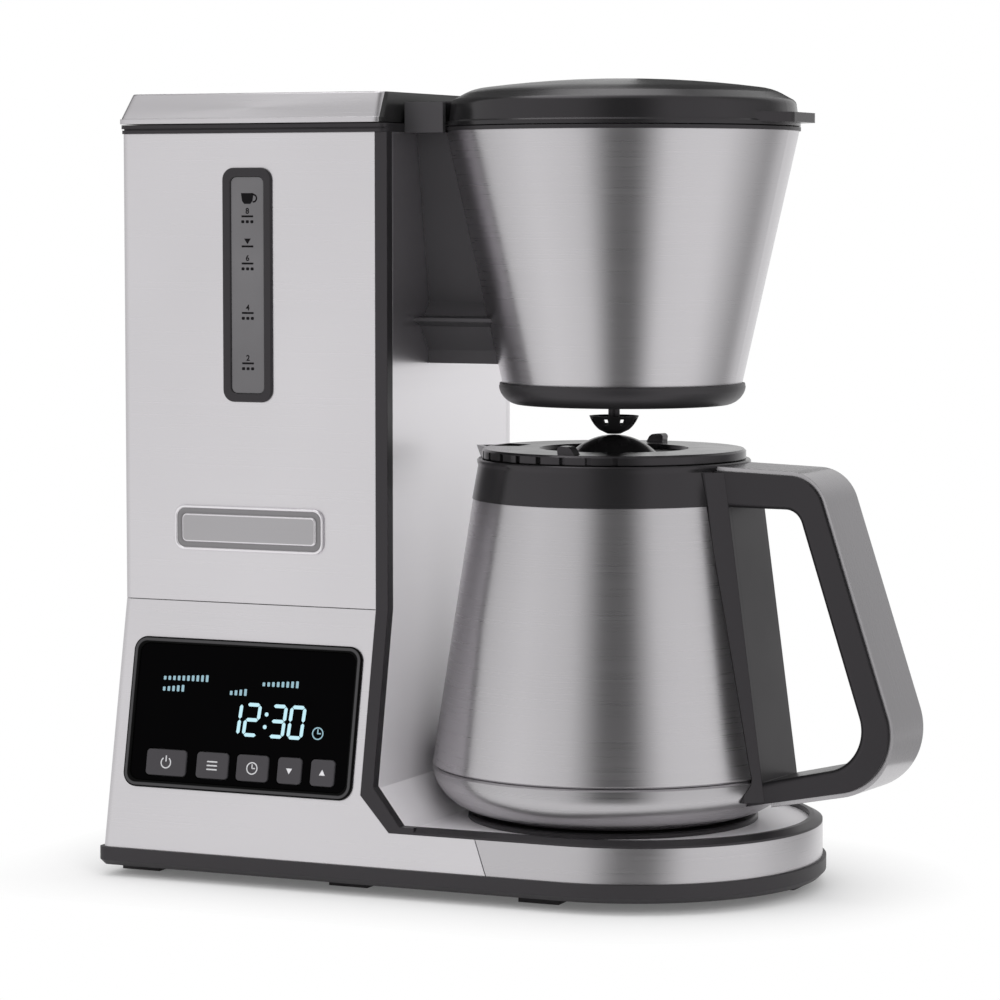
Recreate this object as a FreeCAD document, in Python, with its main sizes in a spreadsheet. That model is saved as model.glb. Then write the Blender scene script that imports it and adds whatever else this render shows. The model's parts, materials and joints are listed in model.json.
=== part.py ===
import FreeCAD, Part
import Sketcher
import math
import os

# Drip coffee maker with a thermal jug. Millimetres, +Z up, front towards -Y.
# The origin lies on the table, within 2 mm of the middle of the plan box.

doc = FreeCAD.newDocument("coffee_maker")
sheet = doc.addObject("Spreadsheet::Sheet", "Dims")
V = FreeCAD.Vector
pieces = []
rows = []


class Dim:
    """A length from the sheet, or arithmetic on such lengths, kept as sheet text and as a number."""

    def __init__(self, text, value):
        self.text = text
        self.value = value

    def __add__(self, other):
        other = as_dim(other)
        return Dim("(%s + %s)" % (self.text, other.text), self.value + other.value)

    def __sub__(self, other):
        other = as_dim(other)
        return Dim("(%s - %s)" % (self.text, other.text), self.value - other.value)

    def __mul__(self, other):
        other = as_dim(other)
        return Dim("(%s * %s)" % (self.text, other.text), self.value * other.value)

    def __truediv__(self, other):
        other = as_dim(other)
        return Dim("(%s / %s)" % (self.text, other.text), self.value / other.value)

    def __radd__(self, other):
        return as_dim(other) + self

    def __rsub__(self, other):
        return as_dim(other) - self

    def __rmul__(self, other):
        return as_dim(other) * self

    def __neg__(self):
        return Dim("(0 - %s)" % self.text, -self.value)


def as_dim(value):
    return value if isinstance(value, Dim) else Dim("(%.6g)" % value, float(value))


def number(value):
    return as_dim(value).value


def dim(name, value):
    """Adds one driving dimension to the sheet."""
    rows.append(name)
    row = len(rows)
    sheet.set("A%d" % row, name)
    sheet.set("B%d" % row, "%g" % value)
    sheet.setAlias("B%d" % row, name)
    return Dim("Dims." + name, float(value))


def bind(thing, prop, value):
    thing.setExpression(prop, as_dim(value).text)


# Sketches

def new_body(label, x=0, y=0, z=0):
    body = doc.addObject("PartDesign::Body", label)
    body.Label = label
    for axis, value in zip("xyz", (x, y, z)):
        bind(body, "Placement.Base." + axis, value)
    return body


def origin_plane(body, name):
    return [f for f in body.Origin.OriginFeatures if f.Role == name + "_Plane"][0]


def new_sketch(body, plane, offset=0):
    sketch = body.newObject("Sketcher::SketchObject", body.Name + "_sketch")
    sketch.AttachmentSupport = [(origin_plane(body, plane), "")]
    sketch.MapMode = "FlatFace"
    bind(sketch, "AttachmentOffset.Base.z", offset)
    return sketch


def limit(sketch, kind, value, *refs):
    """Adds one constraint whose size follows the sheet."""
    index = sketch.addConstraint(Sketcher.Constraint(kind, *refs, number(value)))
    sketch.setExpression("Constraints[%d]" % index, as_dim(value).text)


def pin(sketch, geometry, vertex, a, b):
    """Fixes a point of the sketch at (a, b)."""
    for kind, value, axis in (("DistanceX", a, -2), ("DistanceY", b, -1)):
        if number(value) == 0:
            sketch.addConstraint(Sketcher.Constraint("PointOnObject", geometry, vertex, axis))
        else:
            limit(sketch, kind, value, -1, 1, geometry, vertex)


def tie(sketch, geometry, other, vertex=2, other_vertex=1):
    sketch.addConstraint(Sketcher.Constraint("Coincident", geometry, vertex, other, other_vertex))


def edge(sketch, start, step):
    """Adds one side of an outline; gives its index and the numbers of its first and last vertex."""
    a, b = [V(number(point[0]), number(point[1]), 0) for point in (start, step)]
    if len(step) == 2:
        return sketch.addGeometry(Part.LineSegment(a, b)), 1, 2
    dome = step[2] == "dome"
    if dome:
        reach, rise = max(a.x, b.x), abs(b.y - a.y)
        radius = math.copysign((reach ** 2 + rise ** 2) / (2 * rise), a.x - b.x)
    else:
        radius = number(step[2])
    half = (b - a) / 2
    across = V(-half.y, half.x, 0).normalize()
    depth = math.sqrt(radius ** 2 - half.Length ** 2)
    centre = a + half + across * math.copysign(depth, radius)
    first, last = (a, b) if radius > 0 else (b, a)
    angles = [math.atan2(point.y - centre.y, point.x - centre.x) for point in (first, last)]
    circle = Part.Circle(centre, V(0, 0, 1), abs(radius))
    index = sketch.addGeometry(Part.ArcOfCircle(circle, *angles))
    if dome:
        sketch.addConstraint(Sketcher.Constraint("PointOnObject", index, 3, -2))
    else:
        limit(sketch, "Radius", abs(radius), index)
    return (index, 1, 2) if radius > 0 else (index, 2, 1)


def outline(*steps):
    """A closed outline. A line leads to (a, b) and an arc to (a, b, radius), turning left if positive.

    The radius "dome" stands for an arc whose centre lies on the vertical axis.
    """
    def draw(sketch):
        sides = [edge(sketch, steps[i - 1], step) for i, step in enumerate(steps)]
        for i, (index, first, last) in enumerate(sides):
            following, start, end = sides[(i + 1) % len(sides)]
            tie(sketch, index, following, last, start)
        for (index, first, last), step in zip(sides, steps):
            pin(sketch, index, last, step[0], step[1])
    return draw


def rect(left, low, right, high):
    return outline((left, low), (right, low), (right, high), (left, high))


def disc(a, b, radius):
    def draw(sketch):
        circle = Part.Circle(V(number(a), number(b), 0), V(0, 0, 1), number(radius))
        index = sketch.addGeometry(circle)
        pin(sketch, index, 3, a, b)
        limit(sketch, "Radius", radius, index)
    return draw


def arc(sketch, a, b, radius, start, end):
    """Adds an arc whose ends stand level with its centre or straight above or below it."""
    circle = Part.Circle(V(number(a), number(b), 0), V(0, 0, 1), number(radius))
    index = sketch.addGeometry(Part.ArcOfCircle(circle, math.radians(start), math.radians(end)))
    pin(sketch, index, 3, a, b)
    limit(sketch, "Radius", radius, index)
    for vertex, angle in ((1, start), (2, end)):
        kind = "Horizontal" if angle % 180 == 0 else "Vertical"
        sketch.addConstraint(Sketcher.Constraint(kind, index, vertex, index, 3))
    return index


def line(sketch, start, end):
    ends = [V(number(a), number(b), 0) for a, b in (start, end)]
    return sketch.addGeometry(Part.LineSegment(*ends))


def rounded(left, low, right, high, radius):
    """A rectangle with round corners."""
    def draw(sketch):
        l, r, b, t = left + radius, right - radius, low + radius, high - radius
        arcs = [arc(sketch, l, b, radius, 180, 270), arc(sketch, r, b, radius, 270, 360),
                arc(sketch, r, t, radius, 0, 90), arc(sketch, l, t, radius, 90, 180)]
        sides = [line(sketch, (l, low), (r, low)), line(sketch, (right, b), (right, t)),
                 line(sketch, (r, high), (l, high)), line(sketch, (left, t), (left, b))]
        for i in range(4):
            tie(sketch, arcs[i], sides[i])
            tie(sketch, sides[i], arcs[(i + 1) % 4])
    return draw


def round_ended(left, centre, middle, radius):
    """The plan of the base: square at the left, half a circle at the right."""
    def draw(sketch):
        low, high = middle - radius, middle + radius
        front = line(sketch, (left, low), (centre, low))
        end = arc(sketch, centre, middle, radius, -90, 90)
        back = line(sketch, (centre, high), (left, high))
        side = line(sketch, (left, high), (left, low))
        for first, second in ((front, end), (end, back), (back, side), (side, front)):
            tie(sketch, first, second)
        sketch.addConstraint(Sketcher.Constraint("Horizontal", front))
        sketch.addConstraint(Sketcher.Constraint("Horizontal", back))
        limit(sketch, "DistanceX", left, -1, 1, side, 1)
        limit(sketch, "DistanceX", left, -1, 1, side, 2)
    return draw


def several(*drawings):
    def draw(sketch):
        for drawing in drawings:
            drawing(sketch)
    return draw


def discs_on(circle, radius, angles):
    """Discs whose centres lie on a circle, at angles in degrees."""
    turns = [math.radians(angle) for angle in angles]
    return [disc(circle * math.cos(turn), circle * math.sin(turn), radius) for turn in turns]


# Features

def feature(body, kind, sketch):
    made = body.newObject("PartDesign::" + kind, body.Name + "_" + kind)
    made.Profile = sketch
    return made


def must_shrink(body, before):
    doc.recompute()
    if not 0 < body.Shape.Volume < before - 1e-3:
        raise ValueError(body.Label + ": a cut failed")


def pad(body, plane, lo, hi, drawing):
    """Material from lo to hi along the axis that the plane lacks."""
    sketch = new_sketch(body, plane, -as_dim(hi) if plane == "XZ" else lo)
    drawing(sketch)
    made = feature(body, "Pad", sketch)
    bind(made, "Length", hi - as_dim(lo))


def pocket(body, plane, lo, hi, drawing):
    """A cut from lo to hi along the axis that the plane lacks."""
    doc.recompute()
    before = body.Shape.Volume
    sketch = new_sketch(body, plane, -as_dim(lo) if plane == "XZ" else hi)
    drawing(sketch)
    made = feature(body, "Pocket", sketch)
    bind(made, "Length", hi - as_dim(lo))
    must_shrink(body, before)


def spin(body, *steps):
    """Material turned about the body's own Z axis, steps as (radius, height)."""
    sketch = new_sketch(body, "XZ")
    outline(*steps)(sketch)
    made = feature(body, "Revolution", sketch)
    made.ReferenceAxis = (sketch, ["V_Axis"])
    made.Angle = 360


def groove(body, *steps):
    doc.recompute()
    before = body.Shape.Volume
    sketch = new_sketch(body, "XZ")
    outline(*steps)(sketch)
    made = feature(body, "Groove", sketch)
    made.ReferenceAxis = (sketch, ["V_Axis"])
    made.Angle = 360
    must_shrink(body, before)


def loft(body, kind, low, low_drawing, high, high_drawing):
    sections = []
    for height, drawing in ((low, low_drawing), (high, high_drawing)):
        sketch = new_sketch(body, "XY", height)
        drawing(sketch)
        sections.append(sketch)
    made = feature(body, kind, sections[0])
    made.Sections = [sections[1]]
    made.Ruled = True


def pipe(body, profile, path, kind="AdditivePipe"):
    made = feature(body, kind, profile)
    made.Spine = path
    return made


def around(body, count, angle=360):
    """Repeats the last feature about the body's Z axis."""
    doc.recompute()
    last = body.Tip
    made = body.newObject("PartDesign::PolarPattern", body.Name + "_pattern")
    made.Originals = [last]
    made.Axis = ([f for f in body.Origin.OriginFeatures if f.Role == "Z_Axis"][0], [""])
    made.Angle = angle
    made.Occurrences = count
    body.Tip = made


def dress(body, kind, size, pick):
    """Rounds or bevels the edges that pick chooses."""
    doc.recompute()
    base = body.Tip
    names = ["Edge%d" % (i + 1) for i, edge in enumerate(base.Shape.Edges) if pick(edge.BoundBox)]
    if not names:
        raise ValueError(body.Label + ": no edge to dress")
    made = body.newObject("PartDesign::" + kind, body.Name + "_" + kind)
    made.Base = (base, names)
    bind(made, "Radius" if kind == "Fillet" else "Size", size)


def near(a, b):
    return abs(a - number(b)) < 0.02


def upright(*places):
    """Edges along Z at the given (x, y)."""
    def pick(box):
        return box.ZLength > 0.05 and any(
            near(box.XMin, x) and near(box.XMax, x) and near(box.YMin, y) and near(box.YMax, y)
            for x, y in places)
    return pick


def crosswise(*places):
    """Edges along Y at the given (x, z)."""
    def pick(box):
        return box.YLength > 0.05 and any(
            near(box.XMin, x) and near(box.XMax, x) and near(box.ZMin, z) and near(box.ZMax, z)
            for x, z in places)
    return pick


def level(z):
    """Every edge that lies at height z."""
    return lambda box: near(box.ZMin, z) and near(box.ZMax, z)


def facing(y):
    """Every edge that lies in the upright plane at depth y."""
    return lambda box: near(box.YMin, y) and near(box.YMax, y)


def box(name, x, y, z, length, width, height):
    made = doc.addObject("Part::Box", name)
    for prop, value in (("Length", length), ("Width", width), ("Height", height)):
        bind(made, prop, value)
    for axis, value in zip("xyz", (x, y, z)):
        bind(made, "Placement.Base." + axis, value)
    return made


TURNS = {
    "x": FreeCAD.Rotation(V(0, 1, 0), 90),
    "y": FreeCAD.Rotation(V(1, 0, 0), -90),
    "z": FreeCAD.Rotation(),
}


def rod(name, axis, x, y, z, radius, length):
    made = doc.addObject("Part::Cylinder", name)
    made.Placement = FreeCAD.Placement(V(0, 0, 0), TURNS[axis])
    bind(made, "Radius", radius)
    bind(made, "Height", length)
    for along, value in zip("xyz", (x, y, z)):
        bind(made, "Placement.Base." + along, value)
    return made


def combine(kind, label, base, tool):
    made = doc.addObject("Part::" + kind, label)
    made.Base = base
    made.Tool = tool
    return made


def group(kind, label, members, prop):
    made = doc.addObject("Part::" + kind, label)
    setattr(made, prop, members)
    return made


def keep(thing, label=None):
    """Marks an object as one piece to hand in."""
    if label:
        thing.Label = label
    pieces.append(thing)
    return thing


# Driving dimensions

tower_left = dim("tower_left", -162.7)
tower_right = dim("tower_right", -39.7)
tower_front = dim("tower_front", -58.6)
tower_back = dim("tower_back", 79)
tower_top = dim("tower_top", 308.2)
fascia_top = dim("fascia_top", 114.2)
base_front = dim("base_front", -79)
band_low = dim("band_low", 12.2)
band_top = dim("band_top", 26.1)
plate_top = dim("plate_top", 26.5)
trim_top = dim("trim_top", 28.7)
trim_width = dim("trim_width", 5.4)
trim_depth = dim("trim_depth", 5)
steel = dim("steel_gauge", 1.2)
back_corner = dim("back_corner", 20)
front_corner = dim("front_corner", 3.4)
end_x = dim("end_x", 43.5)
end_radius = dim("end_radius", 79)
end_x_top = dim("end_x_top", 44.4)
end_y_top = dim("end_y_top", 1.4)
end_radius_top = dim("end_radius_top", 77.6)
band_seam = dim("band_seam", 13)
bend_z = dim("bend_z", 42.6)
bend_x = dim("bend_x", -26.1)
foot_height = dim("foot_height", 4.6)
skirt = dim("skirt_proud", 1.5)
tray_floor = dim("tray_floor", 3)
panel_tilt = dim("panel_tilt", 78.69)
frame_height = dim("frame_height", 3.6)
lid_gap = dim("lid_gap", 0.4)
tank_floor = dim("tank_floor", 191.6)
tank_wall = dim("tank_wall", 2.2)
hinge_y = dim("tank_hinge_y", 77.3)
hinge_z = dim("tank_hinge_z", 315.2)
pin_radius = dim("pin_radius", 1.5)
basket_x = dim("basket_x", 39)
cone_top_r = dim("cone_top_r", 71.9)
cone_top_z = dim("cone_top_z", 308.7)
cone_foot_r = dim("cone_foot_r", 49.2)
cone_foot_z = dim("cone_foot_z", 206.1)
cone_wall = dim("cone_wall", 1)
liner_wall = dim("liner_wall", 2)
lid_bottom = dim("brew_lid_bottom", 310.6)
lid_hinge_x = dim("brew_hinge_x", -31)
lid_hinge_z = dim("brew_hinge_z", 317)
jug_x = dim("jug_x", 35.4)
jug_turn = dim("jug_turn", 4.5)
jug_bottom = dim("jug_bottom", 29.2)
jug_seam = dim("jug_seam", 48.6)
jug_wide_r = dim("jug_wide_r", 74.9)
jug_neck_r = dim("jug_neck_r", 58)
jug_neck_z = dim("jug_neck_z", 158.6)
collar_top = dim("collar_top", 175)
jug_lid_top = dim("jug_lid_top", 179.2)
dome_top = dim("dome_top", 184.7)
grip_width = dim("grip_width", 34)
strap_width = dim("strap_width", 31)
strap_gauge = dim("strap_gauge", 1.8)
valve_bottom = dim("valve_bottom", 185.05)

fascia_right = tower_right - trim_width
slope = (tower_front - base_front) / (fascia_top - band_low)
cone_slope = (cone_top_r - cone_foot_r) / (cone_top_z - cone_foot_z)


def front_at(z):
    """Where the front of the tower stands at height z below the seam of the fascia."""
    return base_front + slope * (as_dim(z) - band_low)


def cone_at(z):
    """Outer radius of the basket cone at height z."""
    return cone_foot_r + cone_slope * (as_dim(z) - cone_foot_z)


# Base

tray = keep(new_body("base_tray"))
skirt_left = tower_left - skirt
pad(tray, "XY", foot_height, band_low, round_ended(skirt_left, end_x, 0, end_radius + skirt))
dress(tray, "Fillet", back_corner, upright((skirt_left, end_radius + skirt)))
dress(tray, "Fillet", 4, upright((skirt_left, -end_radius - skirt)))
dress(tray, "Chamfer", 2.2, level(foot_height))
wall_left = tower_left + 5
wall_radius = end_radius - 7.5
pad(tray, "XY", band_low, band_low + 7, round_ended(wall_left, end_x, 0, wall_radius))
dress(tray, "Fillet", 14, upright((wall_left, wall_radius), (wall_left, -wall_radius)))
tray_inside = foot_height + tray_floor
pocket(tray, "XY", tray_inside, band_low + 7, round_ended(wall_left + 14, end_x, 0, wall_radius - 2))
vents = [rect(x, 20, x + 3, 60) for x in range(-40, 30, 9)]
pocket(tray, "XY", foot_height - 1, tray_inside + 1, several(*vents))
for x in (-100, -62):
    for y in (10, 56):
        pad(tray, "XY", tray_inside, tray_inside + 7, disc(x, y, 3.5))

foot_length = 17.5
feet = []
front_feet = [(-162.6, -61.5), (-65.4, -61.5), (20.8, -64)]
rear_feet = [(-162.6, 46), (-65.4, 49.5), (20.8, 52)]
for x, y in front_feet + rear_feet + [(95.5, 5.5)]:
    feet.append(box("foot", x, y, 0, foot_length, 12, foot_height))
keep(group("Compound", "rubber_feet", feet, "Links"))
plugs = []
for x, y in ((-126, -47), (75.3, -41), (-126, 47), (75.3, 41)):
    plugs.append(rod("plug", "z", x, y, foot_height - 2.4, 5.6, 2.4))
keep(group("Compound", "screw_plugs", plugs, "Links"))

band = keep(new_body("base_band"))
loft(band, "AdditiveLoft", band_low, round_ended(-59.7, end_x, 0, end_radius),
     band_top, round_ended(-59.7, end_x_top, end_y_top, end_radius_top))
loft(band, "SubtractiveLoft", band_low - 1, round_ended(-70, end_x, 0, end_radius - steel),
     band_top + 1, round_ended(-70, end_x_top, end_y_top, end_radius_top - steel))
pocket(band, "XZ", -95, 0, outline((-70, band_low - 2), (band_seam + 1.2, band_low - 2),
                                (band_seam - 6.6, band_top + 2), (-70, band_top + 2)))

# Steel of the tower

def sheet_wrap(label, low, high, front_low, front_high):
    """A sheet bent round the front, the left side and the left rear corner, open to the right."""
    def solid(name, inset, low, high, right):
        body = new_body(name)
        y_low, y_high = front_low(low) + inset, front_high(high) + inset
        left, back = tower_left + inset, tower_back - inset
        pad(body, "YZ", left, right, outline((y_low, low), (y_high, high), (back, high), (back, low)))
        dress(body, "Fillet", back_corner - inset, upright((left, back)))

        def front_edge(bound):
            return (near(bound.XMin, left) and near(bound.XMax, left)
                    and bound.ZLength > 20 and bound.YMax < 0)
        dress(body, "Fillet", front_corner - inset, front_edge)
        return body
    outer = solid(label + "_outer", 0, low, high, fascia_right)
    inner = solid(label + "_inner", steel, low - 2, high + 2, fascia_right + 2)
    shell = combine("Cut", label + "_shell", outer, inner)
    rear = box(label + "_rear", tower_left + back_corner, 60, low - 2, 120, 30, high - low + 4)
    return combine("Cut", label + "_open", shell, rear)


def straight(z):
    return tower_front


upper_sheet = sheet_wrap("upper_sheet", fascia_top + 0.3, tower_top, straight, straight)
window_slot = new_body("window_slot")
pad(window_slot, "XZ", -70, -50, rounded(-112.4, 199.9, -93.9, 291.9, 3.5))
keep(combine("Cut", "upper_wrap", upper_sheet, window_slot))

lower_sheet = sheet_wrap("lower_sheet", band_low, fascia_top, front_at, front_at)
strip_form = new_body("strip_form")
pad(strip_form, "XZ", -95, -50,
    outline((fascia_right, band_low), (band_seam, band_low), (band_seam - 6, band_top), (-31, band_top),
            (fascia_right, 40.2)))
strip_slab = new_body("strip_slab")
pad(strip_slab, "YZ", fascia_right, 60,
    outline((front_at(10), 10), (front_at(50), 50), (front_at(50) + steel, 50), (front_at(10) + steel, 10)))
base_strip = combine("Common", "base_strip", strip_form, strip_slab)
lower_whole = combine("Fuse", "lower_whole", lower_sheet, base_strip)


def panel_body(label):
    """A body whose X-Y plane is the face of the tilted lower fascia."""
    body = doc.addObject("PartDesign::Body", label)
    body.Label = label
    body.Placement = FreeCAD.Placement(V(0, 0, 0), FreeCAD.Rotation(V(1, 0, 0), panel_tilt.value))
    bind(body, "Placement.Base.y", base_front)
    bind(body, "Placement.Base.z", band_low)
    bind(body, "Placement.Rotation.Angle", panel_tilt)
    return body


display_hole = panel_body("display_hole")
pad(display_hole, "XY", -8, 6, rounded(-153.4, 27.4, -50.4, 87.2, 5))
keep(combine("Cut", "lower_fascia", lower_whole, display_hole))

side = keep(new_body("side_panel"))
wall_in = tower_right - steel
back_in = tower_back - steel
corner_x = tower_right - back_corner
pad(side, "XY", band_top, tower_top,
    outline((tower_right, -78), (tower_right, tower_back), (corner_x - 1, tower_back),
            (corner_x - 1, back_in), (wall_in, back_in), (wall_in, -78)))
dress(side, "Fillet", back_corner - steel, upright((wall_in, back_in)))
dress(side, "Fillet", back_corner, upright((tower_right, tower_back)))
corner_y = tower_back - back_corner
pocket(side, "YZ", wall_in - 2, tower_right + 2, rect(-90, 10, corner_y, bend_z))
pad(side, "XZ", -78, corner_y, outline((wall_in, bend_z), (tower_right, bend_z), (bend_x, plate_top),
                                    (bend_x, plate_top - steel), (bend_x - 0.6, plate_top - steel)))
pocket(side, "YZ", wall_in - 2, bend_x + 2,
       outline((-95, 10), (front_at(10) + trim_depth, 10), (front_at(fascia_top) + trim_depth, fascia_top),
            (tower_front + trim_depth, tower_top + 2), (-95, tower_top + 2)))
pad(side, "XZ", corner_y - steel, corner_y,
    outline((wall_in, bend_z), (bend_x, plate_top), (wall_in, plate_top)))
plate_radius = end_radius_top - trim_width
pad(side, "XY", plate_top - steel, plate_top, round_ended(bend_x - 0.4, end_x_top, end_y_top, plate_radius))
pad(side, "XY", plate_top - steel, plate_top,
    outline((corner_x, corner_y - steel), (bend_x, corner_y - steel), (bend_x, end_y_top + plate_radius),
         (corner_x, end_y_top + plate_radius)))
pocket(side, "YZ", wall_in - 2, tower_right + 2, disc(0, 296, 7))

trim = keep(new_body("edge_trim"))
ring_start = -20
pad(trim, "XZ", -95, -40,
    outline((fascia_right, tower_top), (tower_right, tower_top), (tower_right, bend_z + 1),
         (bend_x - 0.4, trim_top), (ring_start, trim_top), (ring_start, band_top), (-31, band_top),
         (fascia_right, 40.2)))
pocket(trim, "YZ", fascia_right - 2, 0,
       outline((-99, 10), (front_at(10), 10), (front_at(fascia_top), fascia_top),
               (tower_front, tower_top + 2), (-99, tower_top + 2)))
pocket(trim, "YZ", fascia_right - 2, 0,
       outline((front_at(10) + trim_depth, 10), (front_at(fascia_top) + trim_depth, fascia_top),
            (tower_front + trim_depth, tower_top + 2), (-20, tower_top + 2), (-20, 10)))
ring_front = end_y_top - end_radius_top
ring_back = end_y_top + end_radius_top
ring_profile = new_sketch(trim, "YZ", ring_start)
outline((ring_front, band_top), (ring_front, band_top + 0.9), (ring_front + 3.4, trim_top),
     (ring_front + trim_width, trim_top), (ring_front + trim_width, band_top))(ring_profile)
ring_path = new_sketch(trim, "XY", band_top)
path_front = line(ring_path, (ring_start, ring_front), (end_x_top, ring_front))
path_end = arc(ring_path, end_x_top, end_y_top, end_radius_top, -90, 90)
path_back = line(ring_path, (end_x_top, ring_back), (tower_right, ring_back))
tie(ring_path, path_front, path_end)
tie(ring_path, path_end, path_back)
pin(ring_path, path_front, 1, ring_start, ring_front)
pin(ring_path, path_back, 2, tower_right, ring_back)
pipe(trim, ring_profile, ring_path)

rear = keep(new_body("rear_cover"))
rear_left = tower_left + back_corner + 0.2
rear_right = corner_x - 1.2
pad(rear, "XZ", tower_back - 3.2, tower_back,
    rect(rear_left, band_low, rear_right, tower_top))
slots = [rect(-118, z, -82, z + 3) for z in range(120, 180, 7)]
pocket(rear, "XZ", tower_back - 4, tower_back, several(*slots))
screw_places = [(-133, 100), (-67, 100), (-133, 290), (-67, 290)]
screw_holes = [disc(x, z, 1.6) for x, z in screw_places]
pocket(rear, "XZ", tower_back - 4, tower_back, several(disc(-125, 34, 6), *screw_holes))
screws = []
for x, z in screw_places:
    head = rod("screw_head", "y", x, tower_back, z, 3, 1.2)
    shank = rod("screw_shank", "y", x, tower_back - 3.8, z, 1.5, 4)
    screws.append(combine("Fuse", "screw", head, shank))
keep(group("Compound", "rear_screws", screws, "Links"))
gland = keep(new_body("cord_gland"))
pad(gland, "XZ", tower_back, tower_back + 1.4, disc(-125, 34, 9))
pad(gland, "XZ", tower_back - 12, tower_back, disc(-125, 34, 5.9))
pocket(gland, "XZ", tower_back - 13, tower_back + 2, disc(-125, 34, 3.4))

# Top of the tower, tank and tank lid

frame_top = tower_top + frame_height
frame = keep(new_body("top_frame"))
for low, high, proud in ((0, 1.4, 0.6), (1.4, 2, 0), (2, 3.6, 0.8)):
    pad(frame, "XY", tower_top + low, tower_top + high,
        rounded(tower_left - proud, tower_front - proud, tower_right, tower_back + proud, 4))
pocket(frame, "XY", tower_top, frame_top, rounded(tower_left + 8, tower_front + 8, tower_right - 8, 68, 6))
for x in (-139, -74.5):
    pad(frame, "YZ", x, x + 8.5, rect(75.1, frame_top - 1, 79.5, hinge_z))
    pad(frame, "YZ", x, x + 8.5, disc(hinge_y, hinge_z, 2.6))
pocket(frame, "YZ", -140, -60, disc(hinge_y, hinge_z, pin_radius))
keep(rod("tank_lid_pin", "x", -138.5, hinge_y, hinge_z, pin_radius, 72))

lid_low = frame_top + lid_gap
tank_lid = keep(new_body("tank_lid"))
lid_left, lid_right = tower_left - 1.1, tower_right - 2.1
lid_front, lid_back = tower_front - 1.4, hinge_y - 3
pad(tank_lid, "XY", lid_low, lid_low + 2, rounded(lid_left, lid_front, lid_right, lid_back, 4))
loft(tank_lid, "AdditiveLoft", lid_low + 2, rounded(lid_left + 0.4, lid_front + 0.4, lid_right, lid_back, 4),
     lid_low + 12.4, rounded(lid_left + 3.7, lid_front + 5, lid_right - 0.6, lid_back, 4))
dress(tank_lid, "Fillet", 1, level(lid_low + 12.4))
pocket(tank_lid, "XY", lid_low, lid_low + 10.2,
       rounded(lid_left + 8, lid_front + 9, lid_right - 4, lid_back - 4, 3))
pad(tank_lid, "YZ", -130, -75, disc(hinge_y, hinge_z, 2.8))
pad(tank_lid, "YZ", -130, -75, rect(lid_back - 1, hinge_z - 2, hinge_y, hinge_z + 2))
pocket(tank_lid, "YZ", -131, -74, disc(hinge_y, hinge_z, pin_radius + 0.06))
lid_liner = keep(new_body("tank_lid_liner"))
pad(lid_liner, "XY", lid_low, lid_low + 1.6,
    rounded(lid_left + 8.1, lid_front + 9.1, lid_right - 4.1, lid_back - 4.1, 2.9))
pad(lid_liner, "XY", frame_top - 2.4, lid_low,
    rounded(tower_left + 12, tower_front + 12, tower_right - 12, 64, 4))

tank_left, tank_right = tower_left + 3.7, fascia_right - 0.4
tank_front, tank_back = tower_front + 2.1, tower_back - 4


def tank_plan(inset):
    left, right = tank_left + inset, tank_right - inset
    low, high = tank_front + inset, tank_back - inset
    notch_x, notch_y = -58 - as_dim(inset), 14 + as_dim(inset)
    return outline((left, low), (right, low), (right, -notch_y), (notch_x, -notch_y), (notch_x, notch_y),
                (right, notch_y), (right, high), (left, high))


tank = new_body("tank_outside")
pad(tank, "XY", tank_floor, tower_top - 0.3, tank_plan(0))
dress(tank, "Fillet", 16, upright((tank_left, tank_back), (tank_right, tank_back)))
tank_space = new_body("tank_space")
pad(tank_space, "XY", tank_floor + tank_wall, tower_top + 2, tank_plan(tank_wall))
dress(tank_space, "Fillet", 16 - tank_wall,
      upright((tank_left + tank_wall, tank_back - tank_wall),
              (tank_right - tank_wall, tank_back - tank_wall)))
tank_drain = rod("tank_drain", "z", -58, 44, tank_floor - 2, 4, 10)
keep(combine("Cut", "tank_shell", combine("Cut", "tank_open", tank, tank_space), tank_drain), "water_tank")

# Level window and plate

bezel = keep(new_body("level_bezel"))
pad(bezel, "XZ", tower_front - 1.2, tower_front, rounded(-114.5, 197.8, -91.9, 294, 5))
pad(bezel, "XZ", tower_front, tower_front + 1.7, rounded(-112.3, 200, -94, 291.8, 3.4))
pocket(bezel, "XZ", tower_front - 2, tower_front + 3, rounded(-110.6, 201.4, -95.4, 290.3, 2.6))
dress(bezel, "Fillet", 0.6, facing(tower_front - 1.2))
lens = keep(new_body("level_lens"))
pad(lens, "XZ", tower_front - 0.6, tower_front + 1.9, rounded(-110.5, 201.5, -95.5, 290.2, 2.5))
plate = keep(new_body("front_plate"))
pad(plate, "XZ", tower_front - 1.4, tower_front, rounded(-137.7, 135.8, -68.6, 154.5, 4.5))
pocket(plate, "XZ", tower_front - 2, tower_front - 0.9, rounded(-133.6, 138.5, -72.7, 151.8, 3))
dress(plate, "Fillet", 0.35, facing(tower_front - 1.4))

# Display and buttons, drawn on the face of the lower fascia

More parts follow.
